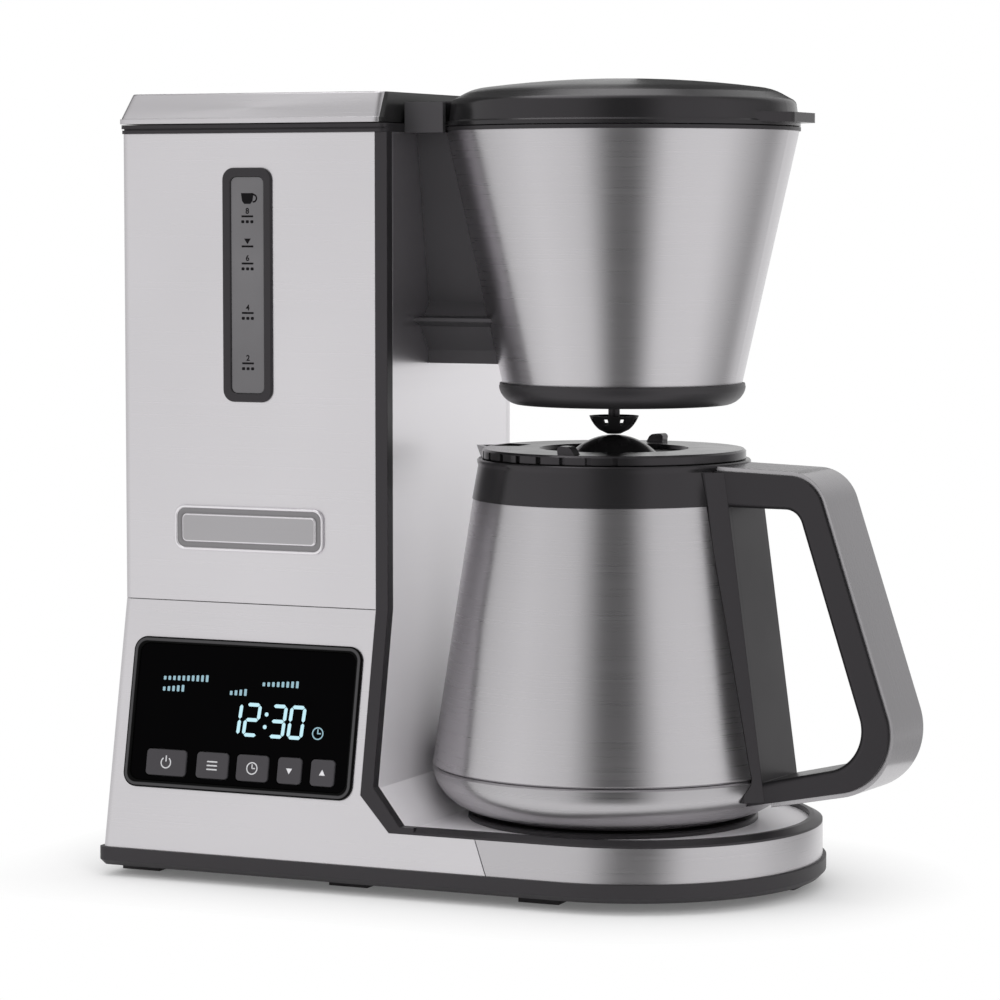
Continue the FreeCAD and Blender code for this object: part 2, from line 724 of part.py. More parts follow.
display_bezel = keep(panel_body("display_bezel"))
pad(display_bezel, "XY", 0, 1.2, rounded(-155, 25.8, -49, 88.6, 6))
pad(display_bezel, "XY", -6.6, 0, rounded(-153.2, 27.6, -50.6, 87, 4.8))
pocket(display_bezel, "XY", -7, 2, rounded(-151.9, 28.7, -51.7, 85.9, 4.2))
dress(display_bezel, "Fillet", 0.5, level(1.2))
button_low, button_high = 31.0, 41.9
buttons = (("brew", -144.5, -125.7), ("menu", -120.9, -106), ("auto", -102.2, -87.4),
           ("down", -83.2, -72.2), ("up", -68, -57.1))
display_lens = keep(panel_body("display_lens"))
pad(display_lens, "XY", -2, 0.6, rounded(-151.8, 28.8, -51.8, 85.8, 4.1))
holes = [rounded(left - 0.35, button_low - 0.35, right + 0.35, button_high + 0.35, 2.05)
         for name, left, right in buttons]
pocket(display_lens, "XY", -3, 2, several(*holes))
for name, left, right in buttons:
    button = keep(panel_body(name + "_button"))
    pad(button, "XY", -2.6, 1.3, rounded(left, button_low, right, button_high, 1.7))
    dress(button, "Fillet", 0.5, level(1.3))
    pad(button, "XY", -3.6, -2.4, rounded(left - 0.9, button_low - 0.9, right + 0.9, button_high + 0.9, 2))
mat = keep(panel_body("key_mat"))
pad(mat, "XY", -6.6, -5.4, rounded(-148, 29.5, -54, 44, 2))
module = keep(panel_body("display_module"))
pad(module, "XY", -6.6, -2.1, rounded(-149, 47, -54.5, 84, 1.5))
board = keep(panel_body("control_board"))
pad(board, "XY", -8.2, -6.6, rounded(-153, 28, -51, 86.6, 3))

# Water path inside the tower

heater_z = dim("heater_z", 70)
heater_r = dim("heater_r", 9)
hose_r = dim("hose_r", 6)
heater_end, heater_turn, heater_gap = dim("heater_end", -75), dim("heater_turn", -125), dim("heater_gap", 44)
heater = keep(new_body("flow_heater"))
heater_profile = new_sketch(heater, "YZ", heater_end)
disc(0, heater_z, heater_r)(heater_profile)
heater_path = new_sketch(heater, "XY", heater_z)
leg_in = line(heater_path, (heater_end, 0), (heater_turn, 0))
turn = arc(heater_path, heater_turn, heater_gap / 2, heater_gap / 2, 90, 270)
leg_out = line(heater_path, (heater_turn, heater_gap), (heater_end, heater_gap))
tie(heater_path, leg_in, turn, 2, 2)
tie(heater_path, turn, leg_out, 1, 1)
pin(heater_path, leg_in, 1, heater_end, 0)
pin(heater_path, leg_out, 2, heater_end, heater_gap)
pipe(heater, heater_profile, heater_path)
stands = []
for y in (0, heater_gap):
    stands.append(box("stand", -118, as_dim(y) - 6, tray_inside, 10, 12, heater_z - heater_r - tray_inside))
keep(group("Compound", "heater_stands", stands, "Links"))
keep(rod("thermostat", "z", -100, 0, heater_z + heater_r, 8, 7))


def bent_hose(label, y, top, over):
    """A hose from the heater, up the tower and, where over is set, on into the brew arm."""
    body = keep(new_body(label))
    x_up, bend = -58 if over is None else -50, 12
    profile = new_sketch(body, "YZ", heater_end)
    disc(y, heater_z, hose_r)(profile)
    path = new_sketch(body, "XZ", -as_dim(y))
    low = line(path, (heater_end, heater_z), (x_up - bend, heater_z))
    first = arc(path, x_up - bend, heater_z + bend, bend, 270, 360)
    rise = line(path, (x_up, heater_z + bend), (x_up, top))
    pin(path, low, 1, heater_end, heater_z)
    tie(path, low, first)
    tie(path, first, rise)
    if over is None:
        pin(path, rise, 2, x_up, top)
    else:
        second = arc(path, x_up + bend, top, bend, 90, 180)
        run = line(path, (x_up + bend, top + bend), (over, top + bend))
        tie(path, rise, second, 2, 2)
        tie(path, second, run, 1, 1)
        pin(path, run, 2, over, top + bend)
    pipe(body, profile, path)


bent_hose("inlet_hose", heater_gap, 181.6, None)
bent_hose("riser_hose", 0, 284, -33.5)
valve_in = keep(new_body("check_valve"))
pad(valve_in, "XY", 181.6, tank_floor, disc(-58, 44, 9))
pad(valve_in, "XY", tank_floor, tank_floor + 6, disc(-58, 44, 3.8))
pocket(valve_in, "XY", 181, tank_floor + 7, disc(-58, 44, 2.5))
power = keep(new_body("power_board"))
board_low = tray_inside + 7
pad(power, "XY", board_low, board_low + 1.6, rect(-104, 6, -58, 60))
board_top = board_low + 1.6
for left, right, front, back, height in ((-96, -76, 14, 30, 16), (-96, -88, 36, 48, 12),
                                         (-75, -63, 40, 52, 22)):
    pad(power, "XY", board_top, board_top + height, rect(left, front, right, back))

# Brew arm

arm_form = new_body("arm_form")
arm_half = ((30.6, 308.5), (18.9, 239), (23.5, 233.2), (33, 232.6), (33, 231.2), (27.2, 229.1),
            (19.6, 219.1), (19.6, 213.6))
front_half = [(-y, z) for y, z in arm_half]
rear_half = [(y, z) for y, z in reversed(arm_half)]
pad(arm_form, "YZ", tower_right, 30, outline(*front_half, *rear_half))
pad(arm_form, "XY", 308, 320.4, rect(tower_right, -42, -22.5, 42))
pocket(arm_form, "XY", 309.9, 322, rect(tower_right - 1, -27.7, -20, 27.7))
pocket(arm_form, "XZ", -39, 39, disc(lid_hinge_x, lid_hinge_z, 2))
pocket(arm_form, "YZ", tower_right - 1, -33.4, disc(0, 296, 6.1))
pocket(arm_form, "XY", 296, 312, disc(-36.6, 0, 2.5))
cone = doc.addObject("Part::Cone", "arm_cone")
bind(cone, "Radius1", cone_at(200))
bind(cone, "Radius2", cone_at(cone_top_z))
bind(cone, "Height", cone_top_z - 200)
bind(cone, "Placement.Base.x", basket_x)
bind(cone, "Placement.Base.z", 200)
rim_room = rod("rim_room", "z", basket_x, 0, cone_top_z - 0.5, cone_top_r + 1.1, 20)
keep(combine("Cut", "arm_trimmed", combine("Cut", "arm_coned", arm_form, cone), rim_room), "brew_arm")
lid_pins = [rod("lid_pin", "y", lid_hinge_x, y, lid_hinge_z, 2, 26) for y in (-38.5, 12.5)]
keep(group("Compound", "brew_lid_pins", lid_pins, "Links"))

nozzle = keep(new_body("water_nozzle"))
nozzle_profile = new_sketch(nozzle, "XY", 302)
disc(-36.6, 0, 2.4)(nozzle_profile)
nozzle_path = new_sketch(nozzle, "XZ", 0)
nozzle_up = line(nozzle_path, (-36.6, 302), (-36.6, 310))
nozzle_bend = arc(nozzle_path, -31.6, 310, 5, 90, 180)
nozzle_out = line(nozzle_path, (-31.6, 315), (-15, 315))
tie(nozzle_path, nozzle_up, nozzle_bend, 2, 2)
tie(nozzle_path, nozzle_bend, nozzle_out, 1, 1)
pin(nozzle_path, nozzle_up, 1, -36.6, 302)
pin(nozzle_path, nozzle_out, 2, -15, 315)
pipe(nozzle, nozzle_profile, nozzle_path)

# Basket

shell = keep(new_body("basket_shell", basket_x))
spin(shell, (cone_foot_r, cone_foot_z), (cone_top_r, cone_top_z), (cone_top_r - cone_wall, cone_top_z),
     (cone_foot_r - cone_wall, cone_foot_z))

liner = keep(new_body("basket_liner", basket_x))
liner_low = 214
play = cone_wall + 0.1


def liner_out(z):
    return cone_at(z) - play


spin(liner, (0, liner_low), (liner_out(liner_low), liner_low), (liner_out(cone_top_z), cone_top_z),
     (cone_top_r + 0.6, cone_top_z), (cone_top_r + 0.6, cone_top_z + 1.5),
     (liner_out(cone_top_z) - liner_wall, cone_top_z + 1.5),
     (liner_out(liner_low + 2) - liner_wall, liner_low + 2), (0, liner_low + 2))
rib_in = liner_wall + 1.6
pad(liner, "XZ", -0.8, 0.8, outline((liner_out(liner_low + 1) - liner_wall - 8, liner_low + 1),
                                 (liner_out(liner_low + 1) - 0.5, liner_low + 1),
                                 (liner_out(296) - 0.5, 296), (liner_out(292) - rib_in, 292),
                                 (liner_out(liner_low + 8) - rib_in, liner_low + 8)))
around(liner, 16)
pocket(liner, "XY", liner_low - 1, liner_low + 3, disc(jug_x - basket_x, 0, 4))

ring = keep(new_body("basket_ring", basket_x))
spin(ring, (0, 197.5), (44.2, 197.5), (50.4, 203.4, 9), (50.6, 204.6), (50.3, cone_foot_z),
     (46.4, cone_foot_z), (46.4, 203), (43, 199.6), (0, 199.6))
pocket(ring, "XY", 197, 200, disc(jug_x - basket_x, 0, 3.2))

valve = keep(new_body("drip_valve", jug_x))
bowl_low, bowl_rim = valve_bottom + 1.6, valve_bottom + 7.4
spin(valve, (0, valve_bottom), (2.8, valve_bottom), (6.1, bowl_low), (10.2, bowl_rim, 13), (2.4, bowl_rim),
     (2.4, 201.5), (6.5, 201.5), (6.5, 203), (1.6, 203), (1.6, 209), (0, 209))
groove(valve, (2.4, bowl_low + 0.8), (5.2, bowl_low + 0.8), (9.1, bowl_rim + 0.4, 12), (2.4, bowl_rim + 0.4))
pocket(valve, "XZ", -1.1, 1.1, rect(4, bowl_rim - 3.4, 12, bowl_rim - 1.2))
around(valve, 8)
seal = keep(new_body("valve_seal", jug_x))
spin(seal, (4, 199.6), (8, 199.6), (8, 200.8), (4, 200.8))
spring = keep(new_body("valve_spring", jug_x))
spring_profile = new_sketch(spring, "XZ")
disc(4.4, 203.9, 0.45)(spring_profile)
coil = feature(spring, "AdditiveHelix", spring_profile)
coil.ReferenceAxis = (spring_profile, ["V_Axis"])
coil.Mode = "pitch-turns-angle"
coil.Pitch = 2.1
coil.Turns = 4.4

# Brew lid

lid_form = new_body("lid_form", basket_x)
spin(lid_form, (0, lid_bottom), (72.4, lid_bottom), (72.4, lid_bottom + 1.6), (71.7, lid_bottom + 2.2),
     (70.7, lid_bottom + 8.8), (68.9, lid_bottom + 11, 3), (64.6, lid_bottom + 13.4),
     (57, lid_bottom + 15.7, 22), (0, lid_bottom + 19.4, "dome"))
pad(lid_form, "XY", lid_bottom + 1.1, lid_bottom + 5, outline((60, -32), (78.5, -14), (78.5, 14), (60, 32)))
dress(lid_form, "Fillet", 6, upright((78.5, -14), (78.5, 14)))
lid_cut_x = -60
pocket(lid_form, "XY", lid_bottom - 1, lid_bottom + 25, rect(-90, -60, lid_cut_x, 60))
lid_room = new_body("lid_room", basket_x)
spin(lid_room, (0, lid_bottom - 1), (69.8, lid_bottom - 1), (68.4, lid_bottom + 8),
     (66.9, lid_bottom + 9.4, 2), (63, lid_bottom + 11.5), (55.5, lid_bottom + 13.5, 20),
     (0, lid_bottom + 17, "dome"))
pocket(lid_room, "XY", lid_bottom - 2, lid_bottom + 25,
       rect(-90, -60, lid_cut_x + 2.4, 60))
lid_shell = combine("Cut", "lid_shell", lid_form, lid_room)
arm_rear = lid_hinge_x - 4.5
lid_arms = []
for y in (-27, 12):
    bar = box("lid_bar", arm_rear, y, lid_hinge_z - 4.2, basket_x + lid_cut_x + 2 - arm_rear, 15, 8.2)
    lid_arms.append(bar)
lid_whole = group("MultiFuse", "lid_whole", [lid_shell] + lid_arms, "Shapes")
lid_bore = rod("lid_bore", "y", lid_hinge_x, -50, lid_hinge_z, 2.06, 100)
lid_slot = box("lid_slot", -30, -8, lid_bottom - 1, 15, 16, 10)
keep(combine("Cut", "lid_bored", combine("Cut", "lid_slotted", lid_whole, lid_slot), lid_bore), "brew_lid")

shower = keep(new_body("shower_head", basket_x))
spin(shower, (0, 312.2), (30, 312.2), (31, 313.2), (30, 315), (6, 315), (6, lid_bottom + 16.95),
     (0, lid_bottom + 17, "dome"))
pad(shower, "XY", 312.2, 320, rect(-50, -9, -14, 9))
pocket(shower, "XY", 314, 321, rect(-51, -7, -16, 7))
for circle, step in ((12, 60), (20, 45), (26.5, 30)):
    pocket(shower, "XY", 312, 316, several(*discs_on(circle, 1.2, range(-90, 91, step))))

# Jug

rest = keep(new_body("jug_rest", jug_x))
spin(rest, (48, plate_top), (60, plate_top), (60, plate_top + 1.4), (59.2, plate_top + 2.1),
     (48, plate_top + 2.1))

jug_shell = keep(new_body("jug_shell", jug_x))
jug_wall = 0.9
spin(jug_shell, (jug_wide_r - 1, jug_seam + 0.2), (jug_wide_r, jug_seam + 1), (74.1, 53.9), (59.4, 149.4),
     (jug_neck_r, jug_neck_z), (jug_neck_r - jug_wall, jug_neck_z), (59.4 - jug_wall, 149.2),
     (74.1 - jug_wall, 53.7), (jug_wide_r - 1.9, jug_seam + 0.2))
jug_pan = keep(new_body("jug_base_pan", jug_x))
pan_low, pan_high, pan_bend = jug_bottom + 1, jug_seam - 0.8, 21
spin(jug_pan, (0, pan_low), (57.5, pan_low), (jug_wide_r, pan_high, pan_bend), (jug_wide_r - 1, jug_seam),
     (jug_wide_r - 1.9, jug_seam), (57.3, pan_low + 1, -pan_bend), (0, pan_low + 1))
jug_foot = keep(new_body("jug_foot", jug_x))
spin(jug_foot, (46, jug_bottom), (55, jug_bottom), (55, jug_bottom + 1), (46, jug_bottom + 1))
jug_liner = keep(new_body("jug_liner", jug_x))
spin(jug_liner, (0, 38), (56, 38), (66, 44), (68, 54), (54, 148), (52.4, 158), (52.4, 168), (51, 168),
     (51, 158), (52.6, 148), (66.6, 54), (64.8, 45.2), (55.4, 39.4), (0, 39.4))


def jug_body(label):
    """A body on the jug's axis, turned as the jug stands."""
    body = doc.addObject("PartDesign::Body", label)
    body.Label = label
    body.Placement = FreeCAD.Placement(V(0, 0, 0), FreeCAD.Rotation(V(0, 0, -1), jug_turn.value))
    bind(body, "Placement.Base.x", jug_x)
    bind(body, "Placement.Rotation.Angle", jug_turn)
    return body


collar = keep(jug_body("jug_collar"))
collar_in = 52.6
lip_r = 56.3
spin(collar, (jug_neck_r + 0.3, jug_neck_z), (55.9, 172.2), (lip_r, 173.6), (lip_r, collar_top - 0.5),
     (lip_r - 0.5, collar_top), (collar_in, collar_top), (collar_in, jug_neck_z))
spout_top = collar_top + 3.5
loft(collar, "AdditiveLoft", 161, outline((-52, -8), (-52, 8), (-57.4, 0)),
     spout_top, outline((-50, -17), (-50, 17), (-64.6, 0)))
loft(collar, "SubtractiveLoft", 166, outline((-52, -3), (-52, 3), (-55, 0)),
     spout_top + 0.5, outline((-50, -13.5), (-50, 13.5), (-61.9, 0)))
pocket(collar, "XY", jug_neck_z, collar_top, disc(0, 0, collar_in))
pocket(collar, "XY", collar_top, spout_top + 1, disc(0, 0, 55))

# The handle is drawn on a cut through its middle, then fitted to the outside of the jug.

jug_tool = new_body("jug_tool", jug_x)
fit = 0.05
spin(jug_tool, (0, 20), (57.5 + fit, 20), (57.5 + fit, pan_low), (jug_wide_r + fit, pan_high, pan_bend),
     (jug_wide_r + fit, jug_seam + 1), (74.1 + fit, 53.9), (59.4 + fit, 149.4),
     (jug_neck_r + 0.3 + fit, jug_neck_z), (55.9 + fit, 172.2), (lip_r + fit, 173.6),
     (lip_r + fit, collar_top + 10), (0, collar_top + 10))


def inner_corner(before, corner, after, depth):
    """The corner that lies depth inside a corner of an outline drawn clockwise."""
    normals = []
    for start, end in ((before, corner), (corner, after)):
        x, z = end[0] - start[0], end[1] - start[1]
        length = math.hypot(x, z)
        normals.append((z / length, -x / length))
    (a, b), (c, d) = normals
    share = 1 / (1 + a * c + b * d)
    return corner[0] + depth * ((a + c) * share), corner[1] + depth * ((b + d) * share)


strap_top, strap_turn, strap_heel, strap_end = (50, 174.3), (98.2, 172.9), (139.4, 50.3), (79, 38.1)
turn_bend, heel_bend, strap_depth = 17, 26, strap_gauge
grip_turn = inner_corner(strap_top, strap_turn, strap_heel, strap_depth)
grip_heel = inner_corner(strap_turn, strap_heel, strap_end, strap_depth)
grip_top, grip_end = (50, 174.3 - strap_depth), (78.6, 38.1 + strap_depth)
gap_in, gap_turn, gap_heel, gap_low = (60.1, 157.9), (89.6, 157.9), (122.4, 59), (75.5, 47.9)
grip_half = grip_width / 2
grip_round = 2.6


def gap_rim(bound):
    """The edges of the opening on both faces of the grip."""
    return (near(abs(bound.YMin), grip_half) and near(bound.YMin, bound.YMax)
            and bound.XMin > 59 and bound.XMax < 123 and bound.ZMin > 46 and bound.ZMax < 158.5)


grip = jug_body("grip_form")
pad(grip, "XZ", -grip_half, grip_half, outline(grip_top, grip_turn, grip_heel, grip_end, (60, 36)))
dress(grip, "Fillet", turn_bend - strap_depth, crosswise(grip_turn))
dress(grip, "Fillet", heel_bend - strap_depth, crosswise(grip_heel))
pocket(grip, "XZ", -grip_width, grip_width, outline(gap_in, gap_turn, gap_heel, gap_low))
dress(grip, "Fillet", 7.5, crosswise(gap_turn))
dress(grip, "Fillet", 17, crosswise(gap_heel))
dress(grip, "Fillet", grip_round, gap_rim)
saddle = jug_body("saddle_form")
saddle_half, saddle_bevel = 23, 6
pad(saddle, "XZ", -saddle_half, saddle_half, outline((40, 172), (58.1, 172), (76.6, 40), (60, 40)))
dress(saddle, "Chamfer", saddle_bevel,
      lambda bound: bound.ZLength > 100 and bound.XMin > 50 and bound.YLength < 0.1)
grip_whole = combine("Fuse", "grip_whole", grip, saddle)
keep(combine("Cut", "grip_fitted", grip_whole, jug_tool), "jug_handle")
strap = jug_body("strap_form")
pad(strap, "XZ", -strap_width / 2, strap_width / 2,
    outline(strap_top, strap_turn, strap_heel, strap_end, grip_end, grip_heel, grip_turn, grip_top))
dress(strap, "Fillet", turn_bend - strap_depth, crosswise(grip_turn))
dress(strap, "Fillet", turn_bend, crosswise(strap_turn))
dress(strap, "Fillet", heel_bend - strap_depth, crosswise(grip_heel))
dress(strap, "Fillet", heel_bend, crosswise(strap_heel))
keep(combine("Cut", "strap_fitted", strap, jug_tool), "handle_strap")

jug_lid = keep(new_body("jug_lid", jug_x))
rim_low = collar_top + 0.4
moat_z = dome_top - 8.1
lid_under = moat_z - 2.1
spin(jug_lid, (0, dome_top - 2), (15.5, lid_under, "dome"), (20, lid_under - 0.6), (30, lid_under),
     (47.5, lid_under), (47.5, 162),
     (49.5, 162), (49.5, rim_low), (54.3, rim_low), (54.3, jug_lid_top - 0.9), (53.4, jug_lid_top),
     (30.7, jug_lid_top), (30.2, moat_z + 1), (20.5, moat_z), (18.3, moat_z), (0, dome_top, "dome"))
notch_turn = math.radians(-67)
notch = []
for along, across in ((52.6, -1.2), (56, -1.2), (56, 1.2), (52.6, 1.2)):
    notch.append((along * math.cos(notch_turn) - across * math.sin(notch_turn),
                  along * math.sin(notch_turn) + across * math.cos(notch_turn)))
pocket(jug_lid, "XY", rim_low - 1, jug_lid_top - 0.9, outline(*notch))
around(jug_lid, 21, -230)
pad(jug_lid, "XZ", 44.5, 50.5,
    outline((-4.2, jug_lid_top - 1), (3.4, jug_lid_top - 1), (3.8, jug_lid_top + 2),
            (2.4, jug_lid_top + 3.4, 1.6), (-0.8, jug_lid_top + 3.2), (-2.6, jug_lid_top + 1.8, 3)))
around(jug_lid, 2)
pocket(jug_lid, "XY", 170, jug_lid_top, several(*discs_on(19.4, 1.3, range(0, 360, 45))))
pocket(jug_lid, "XY", 172, jug_lid_top + 1, outline((-51.5, -9), (-40, -6), (-40, 6), (-51.5, 9)))
lid_seal = keep(new_body("jug_lid_seal", jug_x))
spin(lid_seal, (49.5, 164), (50.6, 164.6), (50.6, 165.8), (49.5, 166.4))

# Checks and export

doc.recompute()
for thing in doc.Objects:
    if "Invalid" in thing.State or "Error" in thing.State:
        raise ValueError(thing.Label + " did not build")
os.makedirs("parts", exist_ok=True)
for piece in pieces:
    if piece.Shape.isNull() or not piece.Shape.isValid() or not piece.Shape.Solids:
        raise ValueError(piece.Label + " is not a sound solid")
    piece.Shape.exportStep("parts/%s.step" % piece.Label)
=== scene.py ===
import json
import math
import bpy
import bmesh
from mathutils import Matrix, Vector


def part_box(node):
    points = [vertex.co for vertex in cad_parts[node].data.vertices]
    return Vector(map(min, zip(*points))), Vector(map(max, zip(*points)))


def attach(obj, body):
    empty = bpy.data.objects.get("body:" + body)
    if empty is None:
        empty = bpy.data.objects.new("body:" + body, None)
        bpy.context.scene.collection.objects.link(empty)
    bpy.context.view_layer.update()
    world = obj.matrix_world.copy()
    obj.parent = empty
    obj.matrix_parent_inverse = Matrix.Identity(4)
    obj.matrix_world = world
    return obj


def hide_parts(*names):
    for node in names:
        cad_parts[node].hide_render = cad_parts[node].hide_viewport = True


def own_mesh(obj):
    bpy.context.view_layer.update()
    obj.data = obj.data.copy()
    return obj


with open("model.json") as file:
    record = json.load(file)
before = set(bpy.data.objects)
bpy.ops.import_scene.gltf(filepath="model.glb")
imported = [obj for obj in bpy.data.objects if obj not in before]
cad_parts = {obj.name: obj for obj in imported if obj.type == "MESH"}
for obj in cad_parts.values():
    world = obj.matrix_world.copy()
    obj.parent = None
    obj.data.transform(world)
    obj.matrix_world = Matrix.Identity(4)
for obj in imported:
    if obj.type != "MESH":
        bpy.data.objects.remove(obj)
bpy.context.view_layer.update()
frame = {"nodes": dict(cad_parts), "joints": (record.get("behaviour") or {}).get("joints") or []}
nodes = frame["nodes"]
scene = bpy.context.scene
scene.view_settings.view_transform = "Standard"
MM = 0.001


# Places read from the frame, in millimetres

def corners(node):
    """The lowest and highest corner of a node."""
    low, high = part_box(node)
    return Vector(low) / MM, Vector(high) / MM


def middle(node):
    low, high = corners(node)
    return (low + high) / 2


def joint(name):
    return next(found for found in frame["joints"] if found["name"] == name)


# The upright front and rear, and the foot and tilt of the lower fascia
FRONT_Y = corners("upper_wrap")[0].y
REAR_Y = corners("rear_cover")[1].y
PANEL_Y, PANEL_Z = corners("lower_fascia")[0].yz
PANEL_TOP = corners("lower_fascia")[1].z
PANEL_TILT = math.atan2(PANEL_TOP - PANEL_Z, FRONT_Y - PANEL_Y)
RISE, LEAN = math.sin(PANEL_TILT), math.cos(PANEL_TILT)

# The frame of the display: its middle, up the fascia, half its height and its corners
DISPLAY_X = middle("display_bezel").x
DISPLAY_UP, BEZEL_HALF, BEZEL_CORNER = 57.2, 31.4, 6.0

# The grey line in its corners, a painted highlight: its radius, half its full width, and where it has faded
# out
HIGHLIGHT_RADIUS, HIGHLIGHT_FULL, HIGHLIGHT_FADE = 4.75, 0.4, 0.75


# Materials

# Noise is read between these values.
NOISE_LOW, NOISE_HIGH = 0.3, 0.7

# Cycles per metre along x, y and z
LEVEL_LINES = (6, 6, 2600)
EVEN_GRAIN = (400, 400, 400)
PLASTIC_GRAIN = 1600

# Tints of the steel's dark and light clouds, of the plastic's shine and of the near black at the end of a
# lid, a painted dark reflection
STEEL_DARK, STEEL_LIGHT = (0.97, 0.945, 0.975), (1.02, 0.993, 1.025)
PLASTIC_SHINE = (1, 0.93, 1, 1)
PAINTED_REFLECTION_DARK = (0.012, 0.0118, 0.0122, 1)

# Heights in metres between which the extra bow and the satin of a sheet's foot fade out
BOW_FADE, SATIN_FADE = (0.04, 0.19), (0.05, 0.2)


class Paint:
    """A node material with its Principled shader at hand."""

    def __init__(self, name):
        self.mat = bpy.data.materials.new(name)
        self.mat.use_nodes = True
        self.tree = self.mat.node_tree
        self.shader = self.tree.nodes["Principled BSDF"]

    def node(self, kind, **values):
        made = self.tree.nodes.new("ShaderNode" + kind)
        for key, value in values.items():
            if key in made.inputs:
                made.inputs[key].default_value = value
            else:
                setattr(made, key, value)
        return made

    def link(self, source, target):
        self.tree.links.new(source, target)

    def feed(self, source, key):
        """Let a value drive an input of the shader."""
        self.link(source, self.shader.inputs[key])

    def set(self, **values):
        for key, value in values.items():
            self.shader.inputs[key.replace("_", " ")].default_value = value

    def surface(self, shader):
        """Show another shader than the Principled one."""
        self.link(shader.outputs[0], self.tree.nodes["Material Output"].inputs["Surface"])

    def place(self):
        """The x, y and z of a point in the piece's own space."""
        parts = self.node("SeparateXYZ")
        self.link(self.node("TexCoord").outputs["Object"], parts.inputs[0])
        return parts.outputs

    def noise(self, scale, detail, rough=0.55):
        """Noise in the piece's own space, scale as cycles per metre along x, y and z."""
        stretch = self.node("Mapping")
        stretch.inputs["Scale"].default_value = scale
        grain = self.node("TexNoise", Scale=1.0, Detail=detail, Roughness=rough)
        self.link(self.node("TexCoord").outputs["Object"], stretch.inputs["Vector"])
        self.link(stretch.outputs["Vector"], grain.inputs["Vector"])
        return grain.outputs["Fac"]

    def math(self, operation, *values):
        made = self.node("Math", operation=operation)
        for socket, value in zip(made.inputs, values):
            if isinstance(value, float):
                socket.default_value = value
            else:
                self.link(value, socket)
        return made.outputs[0]

    def off(self, value, centre):
        """How far a value is from a centre, on either side."""
        return self.math("ABSOLUTE", self.math("SUBTRACT", value, centre))

    def past(self, value, limit):
        """How far a value is past a limit, or nothing."""
        return self.math("MAXIMUM", self.math("SUBTRACT", value, limit), 0.0)

    def distance(self, across, up):
        squares = [self.math("MULTIPLY", value, value) for value in (across, up)]
        return self.math("SQRT", self.math("ADD", *squares))

    def ranged(self, source, low, high, start=NOISE_LOW, end=NOISE_HIGH):
        """Low where a value is at start, high where it is at end, and even beyond them."""
        span = self.node("MapRange")
        for key, value in (("From Min", start), ("From Max", end), ("To Min", low), ("To Max", high)):
            span.inputs[key].default_value = value
        self.link(source, span.inputs["Value"])
        return span.outputs["Result"]

    def tint(self, source, dark, light):
        """Colour the piece from dark to light by a value."""
        ramp = self.node("ValToRGB")
        ends = ((NOISE_LOW, dark), (NOISE_HIGH, light))
        for stop, (position, colour) in zip(ramp.color_ramp.elements, ends):
            stop.position = position
            stop.color = (*colour, 1)
        self.link(source, ramp.inputs["Fac"])
        self.feed(ramp.outputs["Color"], "Base Color")
        return ramp.outputs["Color"]

    def bump(self, source, strength, depth, edge=0.0004):
        """Fine relief over edges that are rounded by the given radius."""
        relief = self.node("Bump", Strength=strength, Distance=depth)
        edges = self.node("Bevel", samples=4, Radius=edge)
        self.link(edges.outputs["Normal"], relief.inputs["Normal"])
        self.link(source, relief.inputs["Height"])
        self.feed(relief.outputs["Normal"], "Normal")
        return relief

    def lean(self, relief, push, foot):
        """Lay fine relief over a bowed face.

        It leans by push where it stands upright, and by foot times that near the table.
        """
        flat = relief.inputs["Normal"].links[0].from_socket
        parts = self.node("SeparateXYZ")
        self.link(flat, parts.inputs[0])
        upright = self.math("SUBTRACT", 1.0, self.math("ABSOLUTE", parts.outputs["Z"]))
        more = self.ranged(self.place()["Z"], foot, 1.0, *BOW_FADE)
        scaled = self.node("VectorMath", operation="SCALE")
        scaled.inputs[0].default_value = push
        self.link(self.math("MULTIPLY", upright, more), scaled.inputs["Scale"])
        added = self.node("VectorMath", operation="ADD")
        self.link(flat, added.inputs[0])
        self.link(scaled.outputs[0], added.inputs[1])
        unit = self.node("VectorMath", operation="NORMALIZE")
        self.link(added.outputs[0], unit.inputs[0])
        self.link(unit.outputs[0], relief.inputs["Normal"])


def shaded(colour, share):
    return tuple(part * share for part in colour)


def brushed_steel(name, scale, tangent_axis, rough=(0.26, 0.36), tone=0.6, stretch=0.65, depth=0.00004,
                  painted_reflection_from=None, push=None, foot=1.0, satin=None):
    """Stainless steel with brush lines along the axes that have the low scales.

    Past the given place along x, the piece is painted near black and not metallic, a painted dark reflection.
    A bowed sheet leans by push. Near the table a satin sheet is metallic only by that share.
    """
    paint = Paint(name)
    paint.set(Metallic=1.0, Anisotropic=stretch, Anisotropic_Rotation=0.25)
    lines = paint.noise(scale, detail=4.0, rough=0.7)
    cloud = paint.noise((9, 9, 9), detail=2.0)
    colour = paint.tint(cloud, shaded(STEEL_DARK, tone), shaded(STEEL_LIGHT, tone))
    paint.feed(paint.ranged(lines, *rough), "Roughness")
    fine = paint.bump(lines, strength=0.12, depth=depth)
    tangent = paint.node("Tangent", direction_type="RADIAL", axis=tangent_axis)
    paint.feed(tangent.outputs["Tangent"], "Tangent")
    if push:
        paint.lean(fine, push, foot)
    if satin is not None:
        paint.feed(paint.ranged(paint.place()["Z"], satin, 1.0, *SATIN_FADE), "Metallic")
    # Painted reflection: past the given place the steel turns near black and not metallic, for the dark parts
    # it would reflect.
    if painted_reflection_from is not None:
        bare = paint.math("LESS_THAN", paint.place()["X"], painted_reflection_from)
        end = paint.node("Mix", data_type="RGBA")
        end.inputs[6].default_value = PAINTED_REFLECTION_DARK
        paint.link(bare, end.inputs[0])
        paint.link(colour, end.inputs[7])
        paint.feed(end.outputs[2], "Base Color")
        paint.feed(bare, "Metallic")
    return paint.mat


